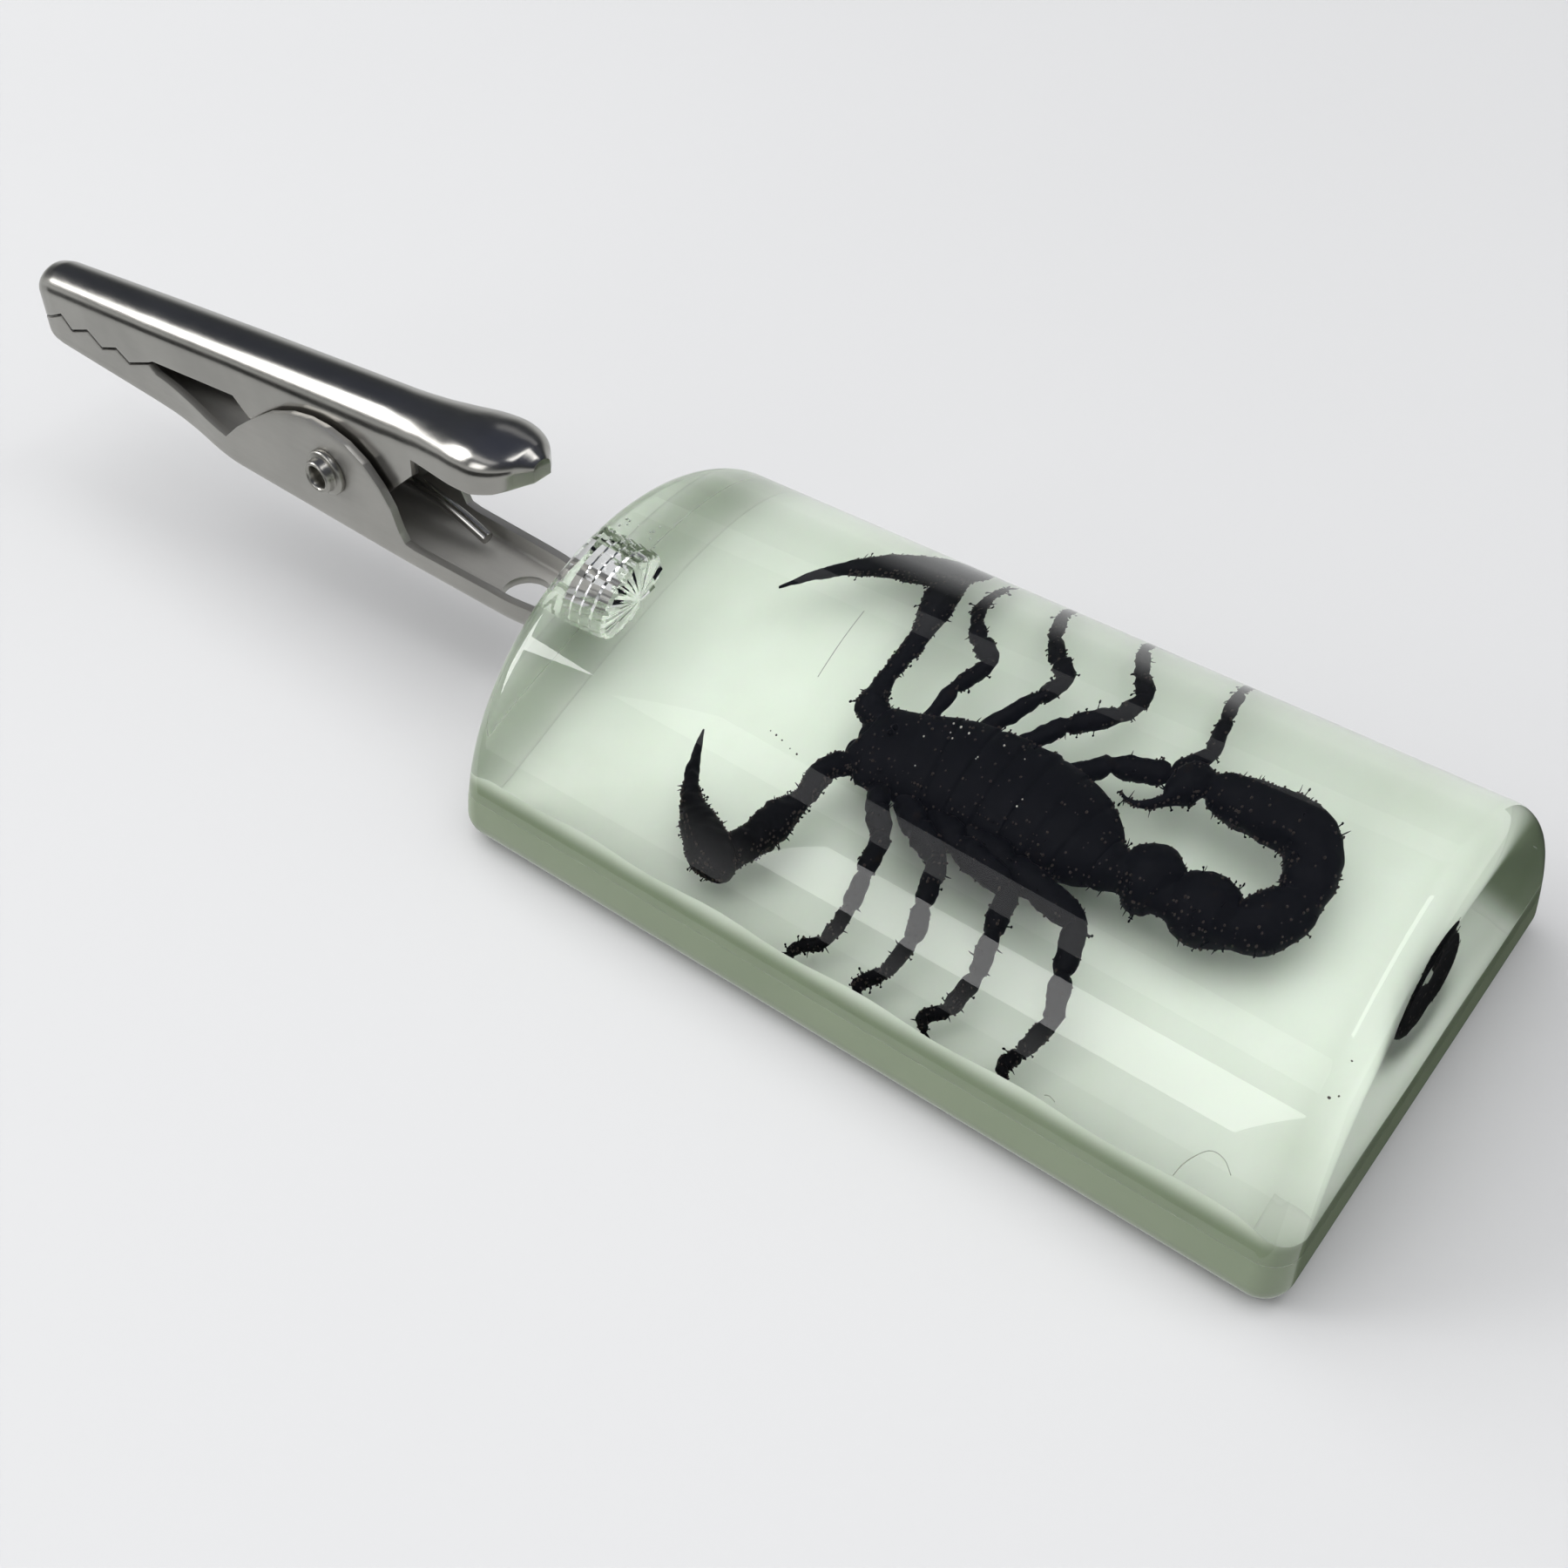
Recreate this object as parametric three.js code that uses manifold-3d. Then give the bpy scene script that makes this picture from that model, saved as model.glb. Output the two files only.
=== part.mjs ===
// A dried scorpion cast in a half-round bar of clear resin on a pale green glow backing,
// with a nickel-plated alligator clip glued into a socket in one end of the bar.
//
// Millimetres. The bar lies along X with its base on z = 0 and its middle at x = y = 0.
// The clip leaves the -X end. The clip's jaws are modelled in their own frame and placed by
// a group: u (local x) runs from near the rivet to the tip, w (local z) up, v (local y) across.
import * as THREE from 'three';
import { mergeVertices } from 'three/addons/utils/BufferGeometryUtils.js';
import Module from 'manifold-3d';

const wasm = await Module();
wasm.setup();

// ---------------------------------------------------------------- driving dimensions

// The bar
const BAR_LENGTH = 44;
const BAR_RADIUS = 13.2; // of the half-round top; its centre line is on the base plane
const EDGE_ROUND = 1.4; // rounding of every outer edge
const END_DRAFT = 0.06; // the end faces lean inwards by this much per mm of height
const ARCH_STEPS = 24; // facets over the half-round top
const ROUND_STEPS = 3; // facets over each rounded edge
const BACKING_TOP = 2.8; // thickness of the glow backing
const PARTING = 4.6; // height at which the clear resin is parted

// The socket for the clip
const SOCKET_Y = -1.7;
const SOCKET_Z = 7.25;
const SOCKET_RADIUS = 2.15;
const SOCKET_DEPTH = 2.8;

// The specimen
const POCKET_GAP = 0.25; // clearance between the specimen and its pocket
const BODY_Z = 4.9; // mid-plane of body and tail

// The clip
const CLIP_X = -39.4; // origin of the clip's frame
const CLIP_Z = 9.6;
const PIVOT_U = -0.3; // the rivet's place along the clip
const CLIP_TILT = THREE.MathUtils.degToRad(3.5); // the tip points slightly upwards
const SHEET = 0.45; // thickness of the pressed sheet
const JAW_TIP = 26.65;
const EAR_HALF = 2.5; // outer half-width over the pivot ears
const FLOOR = -3.7; // underside of the lower jaw behind its teeth
const SHAFT_RADIUS = 0.8; // rivet shaft
const SHAFT_BORE = 0.5;
const SHAFT_CLEARANCE = 0.2; // of the jaws' holes around the shaft
const FLANGE_RADIUS = 1.3;
const FLANGE_THICKNESS = 0.28;
const TUBE_RADIUS = 0.98; // of the rivet's rolled ends, outside the flanges
const TUBE_STAND = 0.8; // how far the rolled ends stand off the ears
const TAIL_HOLE_U = -12.3;
const TAIL_HOLE_RADIUS = 1.3;
const WIRE_RADIUS = 0.36;
const COIL_RADIUS = 1.4;
const COIL_TURNS = 2.5;
const COIL_PITCH = 0.76;

// ---------------------------------------------------------------- solids

function toSolid(geometry) {
  const bare = new THREE.BufferGeometry();
  bare.setAttribute('position', geometry.getAttribute('position').clone());
  if (geometry.index) bare.setIndex(geometry.index.clone());
  const merged = mergeVertices(bare, 1e-4);
  return new wasm.Manifold(new wasm.Mesh({
    numProp: 3,
    vertProperties: new Float32Array(merged.attributes.position.array),
    triVerts: new Uint32Array(merged.index.array),
  }));
}

function toGeometry(solid) {
  const mesh = solid.getMesh();
  const geometry = new THREE.BufferGeometry();
  geometry.setAttribute('position', new THREE.BufferAttribute(mesh.vertProperties, 3));
  geometry.setIndex(new THREE.BufferAttribute(mesh.triVerts, 1));
  return geometry;
}

function joined(geometries) {
  return geometries.map(toSolid).reduce((sum, solid) => sum.add(solid));
}

// A closed solid through rings of equally many points; both ends are capped round their middle.
function loft(rings) {
  const count = rings[0].length;
  const positions = [];
  const indices = [];
  for (const ring of rings) {
    for (const point of ring) positions.push(point.x, point.y, point.z);
  }
  for (let r = 0; r + 1 < rings.length; r += 1) {
    for (let i = 0; i < count; i += 1) {
      const a = r * count + i;
      const b = r * count + ((i + 1) % count);
      indices.push(a, b, a + count, b, b + count, a + count);
    }
  }
  const cap = (ring, start, flip) => {
    const middle = new THREE.Vector3();
    for (const point of ring) middle.addScaledVector(point, 1 / count);
    const centre = positions.length / 3;
    positions.push(middle.x, middle.y, middle.z);
    for (let i = 0; i < count; i += 1) {
      const a = start + i;
      const b = start + ((i + 1) % count);
      indices.push(centre, flip ? a : b, flip ? b : a);
    }
  };
  cap(rings[0], 0, false);
  cap(rings[rings.length - 1], (rings.length - 1) * count, true);
  const geometry = new THREE.BufferGeometry();
  geometry.setAttribute('position', new THREE.Float32BufferAttribute(positions, 3));
  geometry.setIndex(indices);
  return faceOut(geometry);
}

// Turns every face round if the solid came out inside out.
function faceOut(geometry) {
  const position = geometry.getAttribute('position');
  const index = geometry.index;
  const corner = (k) => new THREE.Vector3().fromBufferAttribute(position, index.getX(k));
  let volume = 0;
  for (let k = 0; k < index.count; k += 3) {
    volume += corner(k).dot(corner(k + 1).cross(corner(k + 2)));
  }
  if (volume < 0) {
    for (let k = 0; k < index.count; k += 3) {
      const second = index.getX(k + 1);
      index.setX(k + 1, index.getX(k + 2));
      index.setX(k + 2, second);
    }
  }
  return geometry;
}

function box(from, to) {
  const size = to.map((value, axis) => value - from[axis]);
  return toSolid(new THREE.BoxGeometry(...size).translate(
    (from[0] + to[0]) / 2,
    (from[1] + to[1]) / 2,
    (from[2] + to[2]) / 2,
  ));
}

// ---------------------------------------------------------------- the bar

// The rounded outline is an inner outline pushed out by EDGE_ROUND; both the long edges and
// the end faces get their rounding from it. Each point has its inner place and its way out.
function barOutline() {
  const innerRadius = BAR_RADIUS - EDGE_ROUND;
  const lowAngle = Math.asin(EDGE_ROUND / innerRadius);
  const turn = Math.PI / 2 + lowAngle; // from the arch's foot round to straight down
  const points = [];
  const add = (innerAngle, outAngle) => points.push({
    y: innerRadius * Math.cos(innerAngle),
    z: innerRadius * Math.sin(innerAngle),
    outY: Math.cos(outAngle),
    outZ: Math.sin(outAngle),
  });
  for (let i = 0; i <= ARCH_STEPS; i += 1) {
    const angle = lowAngle + ((Math.PI - 2 * lowAngle) * i) / ARCH_STEPS;
    add(angle, angle);
  }
  for (let i = 1; i <= ROUND_STEPS; i += 1) {
    add(Math.PI - lowAngle, Math.PI - lowAngle + (turn * i) / ROUND_STEPS);
  }
  for (let i = 0; i < ROUND_STEPS; i += 1) {
    add(lowAngle, -Math.PI / 2 + (turn * i) / ROUND_STEPS);
  }
  return points;
}

function barGeometry() {
  const outline = barOutline();
  const rings = [];
  const addRing = (end, lift) => {
    const push = EDGE_ROUND * Math.cos(lift);
    const along = EDGE_ROUND * Math.sin(lift);
    rings.push(outline.map((p) => {
      const half = BAR_LENGTH / 2 - EDGE_ROUND - END_DRAFT * (p.z - EDGE_ROUND);
      return new THREE.Vector3(end * (half + along), p.y + push * p.outY, p.z + push * p.outZ);
    }));
  };
  for (let i = ROUND_STEPS; i >= 0; i -= 1) addRing(-1, (Math.PI / 2) * (i / ROUND_STEPS));
  for (let i = 0; i <= ROUND_STEPS; i += 1) addRing(1, (Math.PI / 2) * (i / ROUND_STEPS));
  return loft(rings);
}

// ---------------------------------------------------------------- the specimen

// One closed tube through stations [x, y, z, half-width, half-height]. The pocket uses the
// same stations with more room all round.
function tube(stations, sides, room) {
  const at = stations.map(([x, y, z]) => new THREE.Vector3(x, y, z));
  const circumscribe = room > 0 ? 1 / Math.cos(Math.PI / sides) : 1; // flats clear the room
  const rings = stations.map(([, , , halfWidth, halfHeight], k) => {
    const along = at[Math.min(k + 1, at.length - 1)].clone().sub(at[Math.max(k - 1, 0)]).normalize();
    const across = new THREE.Vector3(along.y, -along.x, 0).normalize();
    const up = new THREE.Vector3().crossVectors(across, along);
    const end = k === 0 ? -room : k === at.length - 1 ? room : 0;
    const centre = at[k].clone().addScaledVector(along, end);
    const ring = [];
    for (let i = 0; i < sides; i += 1) {
      const angle = (2 * Math.PI * (i + 0.5)) / sides;
      ring.push(centre.clone()
        .addScaledVector(across, (halfWidth + room) * circumscribe * Math.cos(angle))
        .addScaledVector(up, (halfHeight + room) * circumscribe * Math.sin(angle)));
    }
    return ring;
  });
  return loft(rings);
}

// A jointed limb through [x, y, z, radius] joints: each segment swells between its joints.
const JOINT_PINCH = 0.8;
const SEGMENT_SWELL = 1.12;
const SWELLS = [0.6]; // where along a segment its thickest rings lie
function limb(joints, sides, room) {
  if (room > 0) {
    return tube(joints.map(([x, y, z, r]) => [x, y, z, r * SEGMENT_SWELL, r * SEGMENT_SWELL]), sides, room);
  }
  const stations = [];
  const mix = (a, b, share) => a.map((value, k) => value + (b[k] - value) * share);
  joints.forEach((joint, k) => {
    const [x, y, z, r] = joint;
    stations.push([x, y, z, r * JOINT_PINCH, r * JOINT_PINCH]);
    if (k + 1 === joints.length) return;
    for (const share of SWELLS) {
      const [mx, my, mz, mr] = mix(joint, joints[k + 1], share);
      stations.push([mx, my, mz, mr * SEGMENT_SWELL, mr * SEGMENT_SWELL]);
    }
  });
  return tube(stations, sides, room);
}

// Head shield and abdomen: [x, far edge y, near edge y, half-height].
const TRUNK = [
  [-5.1, 0.0, -2.5, 0.75],
  [-4.6, 0.6, -2.9, 1.0],
  [-3.0, 0.95, -2.8, 1.2],
  [-1.0, 1.6, -2.75, 1.3],
  [1.0, 1.8, -2.75, 1.35],
  [3.0, 1.8, -2.75, 1.35],
  [5.0, 1.45, -2.7, 1.25],
  [6.6, 0.7, -2.65, 1.1],
  [7.4, -0.1, -2.2, 0.85],
];
const SHIELD_END = -2.9;
const TERGITES = 7;
const TERGITE_STEP = 0.09; // how much wider each plate's rear edge is than the next one's front

function trunkAt(x) {
  const k = Math.max(1, TRUNK.findIndex((row) => row[0] >= x));
  const before = TRUNK[k - 1];
  const share = (x - before[0]) / (TRUNK[k][0] - before[0]);
  return before.map((value, column) => value + (TRUNK[k][column] - value) * share);
}

function trunk(sides, room) {
  const station = (x, step) => {
    const [, far, near, halfHeight] = trunkAt(x);
    return [x, (far + near) / 2, BODY_Z, (far - near) / 2 + step, halfHeight + step];
  };
  if (room > 0) {
    return tube(TRUNK.map(([x]) => station(x, TERGITE_STEP)), sides, room);
  }
  const stations = [-5.1, -4.6, -3.8, SHIELD_END].map((x) => station(x, 0));
  const end = TRUNK[TRUNK.length - 1][0];
  const plate = (end - SHIELD_END) / TERGITES;
  for (let i = 0; i < TERGITES; i += 1) {
    const front = SHIELD_END + plate * i;
    stations.push(station(front + 0.05, -TERGITE_STEP), station(front + plate, TERGITE_STEP));
  }
  return tube(stations, sides, room);
}

// Five tail segments, the bulb and the sting: [x, y, half-width], all in the body's plane.
const TAIL = [
  [7.0, -1.17, 0.9], [7.6, -1.17, 1.0], [8.2, -1.15, 0.78],
  [8.7, -1.0, 1.15], [9.5, -0.93, 1.36], [10.2, -1.05, 1.1], [10.55, -1.2, 0.8],
  [11.1, -1.1, 1.15], [12.1, -1.02, 1.35], [12.9, -1.08, 1.15], [13.35, -1.1, 0.85],
  [13.9, -0.75, 1.1], [14.55, -0.2, 1.2], [15.0, 0.5, 1.1], [15.05, 1.05, 0.95],
  [14.95, 1.8, 1.12], [14.5, 2.75, 1.12], [13.6, 3.4, 1.05], [12.3, 3.5, 1.02], [10.8, 3.48, 0.92],
  [9.6, 3.5, 0.72], [9.15, 3.5, 0.48],
  [8.75, 3.4, 0.72], [8.3, 3.15, 0.84], [8.05, 2.65, 0.62], [7.95, 2.2, 0.36],
  [7.55, 1.8, 0.22], [6.95, 1.52, 0.13], [6.25, 1.4, 0.05],
];

// The far and the near pincer: an arm and a hand with closed fingers, [x, y, half-width].
const ARMS = [
  [[-4.5, -0.3, 0.45], [-5.3, 0.1, 0.5], [-6.0, 0.35, 0.68], [-6.3, 1.3, 0.5], [-6.4, 2.4, 0.45],
    [-6.45, 3.4, 0.5], [-6.6, 4.2, 0.55], [-7.0, 5.2, 0.78], [-7.5, 6.2, 0.75], [-7.9, 7.0, 0.6]],
  [[-4.5, -1.9, 0.45], [-5.2, -2.5, 0.5], [-5.75, -3.2, 0.62], [-5.75, -4.4, 0.52], [-5.85, -5.3, 0.55],
    [-6.05, -6.2, 0.85], [-6.25, -7.2, 0.9], [-6.5, -8.2, 0.78], [-7.0, -9.2, 0.8]],
];
const HANDS = [
  [[-6.9, 8.0, 0.5], [-7.5, 7.7, 0.95], [-8.3, 7.1, 1.12], [-9.4, 6.55, 0.9], [-10.6, 6.05, 0.68],
    [-11.9, 5.3, 0.42], [-13.1, 4.35, 0.28], [-14.2, 3.1, 0.08]],
  [[-6.3, -10.4, 0.5], [-6.9, -10.2, 0.95], [-7.8, -9.7, 1.22], [-9.0, -8.7, 0.95], [-9.95, -7.9, 0.6],
    [-10.75, -6.85, 0.4], [-11.45, -5.5, 0.26], [-12.05, -4.1, 0.08]],
];

// Eight legs from the body's edge to the foot: [x, y, z, radius].
const LEGS = [
  [[-3.3, -2.2, 4.6, 0.4], [-2.5, -3.8, 5.1, 0.5], [-1.5, -4.6, 5.0, 0.42], [-1.15, -6.6, 4.8, 0.4],
    [-0.85, -8.2, 4.4, 0.34], [-1.0, -10.3, 4.0, 0.28], [-1.9, -11.0, 3.8, 0.28], [-2.1, -11.8, 3.75, 0.16]],
  [[-2.0, -2.3, 4.6, 0.45], [-0.4, -3.7, 5.1, 0.52], [1.3, -4.35, 5.0, 0.44], [1.95, -6.6, 4.8, 0.42],
    [2.4, -8.1, 4.4, 0.36], [2.1, -10.1, 4.0, 0.28], [1.35, -11.0, 3.8, 0.28], [1.5, -11.8, 3.75, 0.16]],
  [[-0.6, -2.3, 4.6, 0.45], [1.6, -3.5, 5.1, 0.55], [4.7, -4.1, 5.0, 0.46], [5.2, -6.2, 4.8, 0.42],
    [5.65, -8.1, 4.4, 0.36], [5.35, -10.1, 4.0, 0.3], [4.5, -11.0, 3.8, 0.28], [4.9, -11.7, 3.75, 0.16]],
  [[0.8, -2.3, 4.6, 0.45], [4.0, -3.25, 5.1, 0.58], [8.0, -4.0, 5.0, 0.48], [8.7, -6.3, 4.8, 0.44],
    [9.4, -8.3, 4.4, 0.38], [8.9, -10.3, 4.05, 0.3], [8.55, -11.3, 3.85, 0.28], [9.0, -11.9, 3.8, 0.16]],
  [[-3.4, 0.5, 4.6, 0.32], [-3.3, 2.5, 5.1, 0.36], [-2.7, 4.1, 5.0, 0.34], [-4.0, 4.75, 4.8, 0.32],
    [-5.0, 5.45, 4.5, 0.26], [-5.7, 6.4, 4.2, 0.24], [-5.75, 7.6, 3.9, 0.14]],
  [[-1.2, 1.1, 4.6, 0.34], [0.3, 3.6, 5.1, 0.38], [0.8, 4.75, 5.0, 0.34], [-0.3, 5.4, 4.8, 0.32],
    [-1.4, 6.2, 4.5, 0.26], [-2.3, 7.4, 4.2, 0.24], [-2.9, 9.2, 3.85, 0.14]],
  [[0.6, 1.3, 4.6, 0.36], [2.2, 3.1, 5.1, 0.4], [3.9, 4.3, 5.1, 0.38], [4.25, 5.5, 5.0, 0.34],
    [3.2, 6.3, 4.7, 0.28], [2.1, 7.5, 4.3, 0.24], [1.4, 9.6, 3.85, 0.14]],
  [[3.2, 1.3, 4.6, 0.36], [5.0, 2.75, 4.6, 0.42], [7.3, 3.5, 4.4, 0.38], [8.25, 4.8, 4.5, 0.34],
    [7.7, 6.2, 4.5, 0.28], [7.1, 7.6, 4.2, 0.24], [6.8, 10.0, 3.85, 0.14]],
];

const TAIL_FLATTEN = 0.9; // height of a tail segment as a share of its width
const HAND_FLATTEN = 0.85;
const EYE_MOUND = { x: -3.9, y: -0.95, z: 6.0, radius: 0.42 };
const MOUTHPARTS = { x: -5.35, y: [-0.75, -1.65], halfWidth: 0.42, length: 0.7 };

function specimen(sides, legSides, room) {
  const flat = (rows, flatten) => rows.map(([x, y, half]) => [x, y, BODY_Z, half, half * flatten]);
  const pieces = [trunk(sides + 2, room), tube(flat(TAIL, TAIL_FLATTEN), sides, room)];
  for (const arm of ARMS) pieces.push(tube(flat(arm, HAND_FLATTEN), sides, room));
  for (const hand of HANDS) pieces.push(tube(flat(hand, HAND_FLATTEN), sides, room));
  for (const leg of LEGS) pieces.push(limb(leg, legSides, room));
  for (const y of MOUTHPARTS.y) {
    const { x, halfWidth, length } = MOUTHPARTS;
    pieces.push(tube([
      [x + length, y, BODY_Z, halfWidth, halfWidth],
      [x, y, BODY_Z, halfWidth, halfWidth],
      [x - length / 3, y, BODY_Z, halfWidth / 2, halfWidth / 2],
    ], legSides, room));
  }
  const { x, y, z, radius } = EYE_MOUND;
  pieces.push(new THREE.IcosahedronGeometry(radius + room, 0).translate(x, y, z));
  return joined(pieces);
}

// ---------------------------------------------------------------- the clip, in (u, v, w)

// A flat outline of [u, w] points, pressed across the whole width of the clip.
const PRESS_WIDTH = 12;
function sideCut(outline) {
  const shape = new THREE.Shape(outline.map(([u, w]) => new THREE.Vector2(u, w)));
  return toSolid(new THREE.ExtrudeGeometry(shape, { depth: PRESS_WIDTH, bevelEnabled: false })
    .rotateX(Math.PI / 2)
    .translate(0, PRESS_WIDTH / 2, 0));
}

function pivotHole() {
  const radius = SHAFT_RADIUS + SHAFT_CLEARANCE;
  return toSolid(new THREE.CylinderGeometry(radius, radius, PRESS_WIDTH, 16).translate(PIVOT_U, 0, 0));
}

// Upper jaw stations from tip to thumb tab: [u, half-width, shoulder w, crown w].
const UPPER = [
  [JAW_TIP, 0.9, -0.5, 0.3],
  [26.45, 1.25, -0.2, 0.9],
  [25.95, 1.42, -0.05, 1.3],
  [25.1, 1.5, 0.03, 1.55],
  [16.0, 1.66, 1.18, 2.72],
  [8.0, 1.72, 2.2, 3.74],
  [0.0, 1.8, 2.98, 4.75],
  [-4.5, 1.86, 3.42, 5.3],
  [-6.5, 2.0, 3.75, 5.6],
  [-8.0, 2.2, 4.1, 5.85],
  [-9.6, 2.42, 4.45, 6.15],
  [-11.1, 2.45, 4.7, 6.3],
  [-12.3, 2.05, 4.9, 6.2],
  [-13.1, 1.45, 5.05, 6.05],
  [-13.6, 0.8, 5.15, 5.75],
];
const ARCH_SEGMENTS = 8;
const SKIRT = 7; // how far the walls are drawn down before the side outline trims them

function upperRing([u, half, shoulder, crown], inset, drop) {
  const ring = [new THREE.Vector3(u, -(half - inset), shoulder - drop)];
  for (let i = 0; i <= ARCH_SEGMENTS; i += 1) {
    const angle = (Math.PI * i) / ARCH_SEGMENTS;
    ring.push(new THREE.Vector3(
      u,
      -(half - inset) * Math.cos(angle),
      shoulder + (crown - shoulder - inset) * Math.sin(angle),
    ));
  }
  ring.push(new THREE.Vector3(u, half - inset, shoulder - drop));
  return ring;
}

// The teeth line from the tip backwards: [u, w] low and high points.
const TEETH = [[JAW_TIP + 1, -1.45], [26.4, -1.82], [25.5, -1.5], [24.2, -0.85], [23.45, -1.62], [21.7, -0.9],
  [20.55, -1.6], [19.0, -0.98], [17.95, -1.52], [15.9, -0.65]];
const TEETH_GAP = 0.14; // each jaw stays this far from the line between them

function upperJaw() {
  const outer = toSolid(loft(UPPER.map((row) => upperRing(row, 0, SKIRT))));
  const inner = toSolid(loft(UPPER.slice(2, -1).map((row) => upperRing(row, SHEET, SKIRT + 1))));
  const outline = [
    ...TEETH.map(([u, w]) => [u, w + TEETH_GAP]),
    [15.4, -0.3], [8.2, 0.6], [7.2, -0.35], [5.5, -1.3], [2.0, -2.2], [-1.2, -2.25], [-3.0, -1.3], [-4.6, 0.5],
    [-6.46, 2.28], [-6.5, 3.3], [-9.6, 3.5], [-11.1, 3.6], [-12.3, 3.9], [-13.1, 4.25], [-15, 5.0],
    [-15, 9], [JAW_TIP + 1, 9],
  ];
  return outer.subtract(inner)
    .intersect(sideCut(outline))
    .subtract(pivotHole());
}

// Lower jaw stations from tip to tail end: [u, half-width, underside w].
const LOWER = [
  [JAW_TIP, 0.9, -2.7],
  [26.4, 1.3, -3.15],
  [25.9, 1.45, -3.35],
  [25.1, 1.52, -3.42],
  [16.0, 1.68, -3.5],
  [14.0, 1.76, -3.52],
  [12.0, 2.0, -3.55],
  [10.0, 2.34, -3.62],
  [8.4, EAR_HALF, FLOOR],
  [-5.4, EAR_HALF, FLOOR],
  [-13.0, 2.35, FLOOR],
  [-15.2, 1.95, FLOOR],
  [-16.8, 1.15, FLOOR + 0.3],
  [-17.6, 0.9, FLOOR + 0.6],
  [-19.4, 0.85, FLOOR + 0.75],
];
const BEND_RADIUS = 0.6;
const MOST_BEND = 0.8; // a bend takes up at most this share of the half-width
const BEND_STEPS = 3;
const WALL_TOP = 4;

function lowerRing([u, half, underside], inset, top) {
  const radius = Math.min(BEND_RADIUS, half * MOST_BEND) - inset * MOST_BEND;
  const ring = [new THREE.Vector3(u, -(half - inset), top)];
  for (const side of [-1, 1]) {
    for (let i = 0; i <= BEND_STEPS; i += 1) {
      const turn = (side < 0 ? i : BEND_STEPS - i) / BEND_STEPS;
      const angle = (Math.PI / 2) * turn;
      ring.push(new THREE.Vector3(
        u,
        side * (half - inset - radius + radius * Math.cos(angle)),
        underside + inset + radius - radius * Math.sin(angle),
      ));
    }
  }
  ring.push(new THREE.Vector3(u, half - inset, top));
  return ring;
}

function lowerJaw() {
  const outer = toSolid(loft(LOWER.map((row) => lowerRing(row, 0, WALL_TOP))));
  const rows = LOWER.slice(2).map((row) => [...row]);
  rows[rows.length - 1][0] -= 1; // the trough is open at its tail end
  const inner = toSolid(loft(rows.map((row) => lowerRing(row, SHEET, WALL_TOP + 1))));
  const outline = [
    ...TEETH.map(([u, w]) => [u, w - TEETH_GAP]),
    [15.4, -1.1], [8.5, -1.83], [7.2, -0.6], [5.96, 0.36], [4.2, 1.55], [2.3, 2.36], [0.8, 2.68], [-0.6, 2.68],
    [-2.0, 2.4], [-3.25, 1.75], [-4.3, 0.7], [-4.95, -0.3], [-5.35, -1.5], [-5.7, -2.15], [-6.4, -2.25],
    [-11.6, -2.2], [-14.1, -2.25], [-16.2, -2.4], [-21, -2.4],
    [-21, -6], [JAW_TIP + 1, -6],
  ];
  const floorHole = toSolid(new THREE.CylinderGeometry(TAIL_HOLE_RADIUS, TAIL_HOLE_RADIUS, 3, 20)
    .rotateX(Math.PI / 2)
    .translate(TAIL_HOLE_U, 0.3, FLOOR));
  return outer.subtract(inner)
    .intersect(sideCut(outline))
    .subtract(pivotHole())
    .subtract(floorHole);
}

// A tubular rivet with a flange and a rolled tube end outside each ear.
const FLANGE_GAP = 0.1;
const FLANGE_BEVEL = 0.08;
const TUBE_ROLL = 0.1; // rounding of the rolled ends
function rivet() {
  const seat = EAR_HALF + FLANGE_GAP;
  const top = seat + FLANGE_THICKNESS;
  const end = seat + TUBE_STAND;
  const half = [
    [SHAFT_RADIUS, 0],
    [SHAFT_RADIUS, seat],
    [FLANGE_RADIUS, seat],
    [FLANGE_RADIUS - FLANGE_BEVEL, top],
    [TUBE_RADIUS, top],
    [TUBE_RADIUS, end - TUBE_ROLL],
    [TUBE_RADIUS - 2 * TUBE_ROLL, end],
    [SHAFT_BORE + TUBE_ROLL, end - TUBE_ROLL],
    [SHAFT_BORE, top],
  ];
  const profile = half.map(([radius, across]) => new THREE.Vector2(radius, across));
  const other = half.slice(1).reverse().map(([radius, across]) => new THREE.Vector2(radius, -across));
  const ring = [...profile, ...other, profile[0].clone()];
  return new THREE.LatheGeometry(ring, 16).translate(PIVOT_U, 0, 0);
}

// The torsion spring: a leg along the trough's floor, the coil, and a leg under the thumb tab.
const POINTS_PER_TURN = 12;
const SPRING_STEPS = 42;
const WIRE_SIDES = 6;
class SpringPath extends THREE.Curve {
  constructor() {
    super();
    const span = COIL_TURNS * COIL_PITCH;
    this.points = [
      new THREE.Vector3(-8.3, -span / 2, -2.5),
      new THREE.Vector3(-6.3, -span / 2, -1.86),
      new THREE.Vector3(-3.4, -span / 2, -1.32),
    ];
    const last = COIL_TURNS * POINTS_PER_TURN;
    for (let i = 0; i <= last; i += 1) {
      const angle = -Math.PI / 2 + (2 * Math.PI * i) / POINTS_PER_TURN;
      const across = -span / 2 + (span * i) / last;
      const u = PIVOT_U + COIL_RADIUS * Math.cos(angle);
      this.points.push(new THREE.Vector3(u, across, COIL_RADIUS * Math.sin(angle)));
    }
    this.points.push(new THREE.Vector3(-3.2, span / 2, 2.2), new THREE.Vector3(-6.8, span / 2, 3.9));
    this.smooth = new THREE.CatmullRomCurve3(this.points, false, 'centripetal');
  }

  getPoint(t, target = new THREE.Vector3()) {
    return this.smooth.getPoint(t, target);
  }
}

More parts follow.
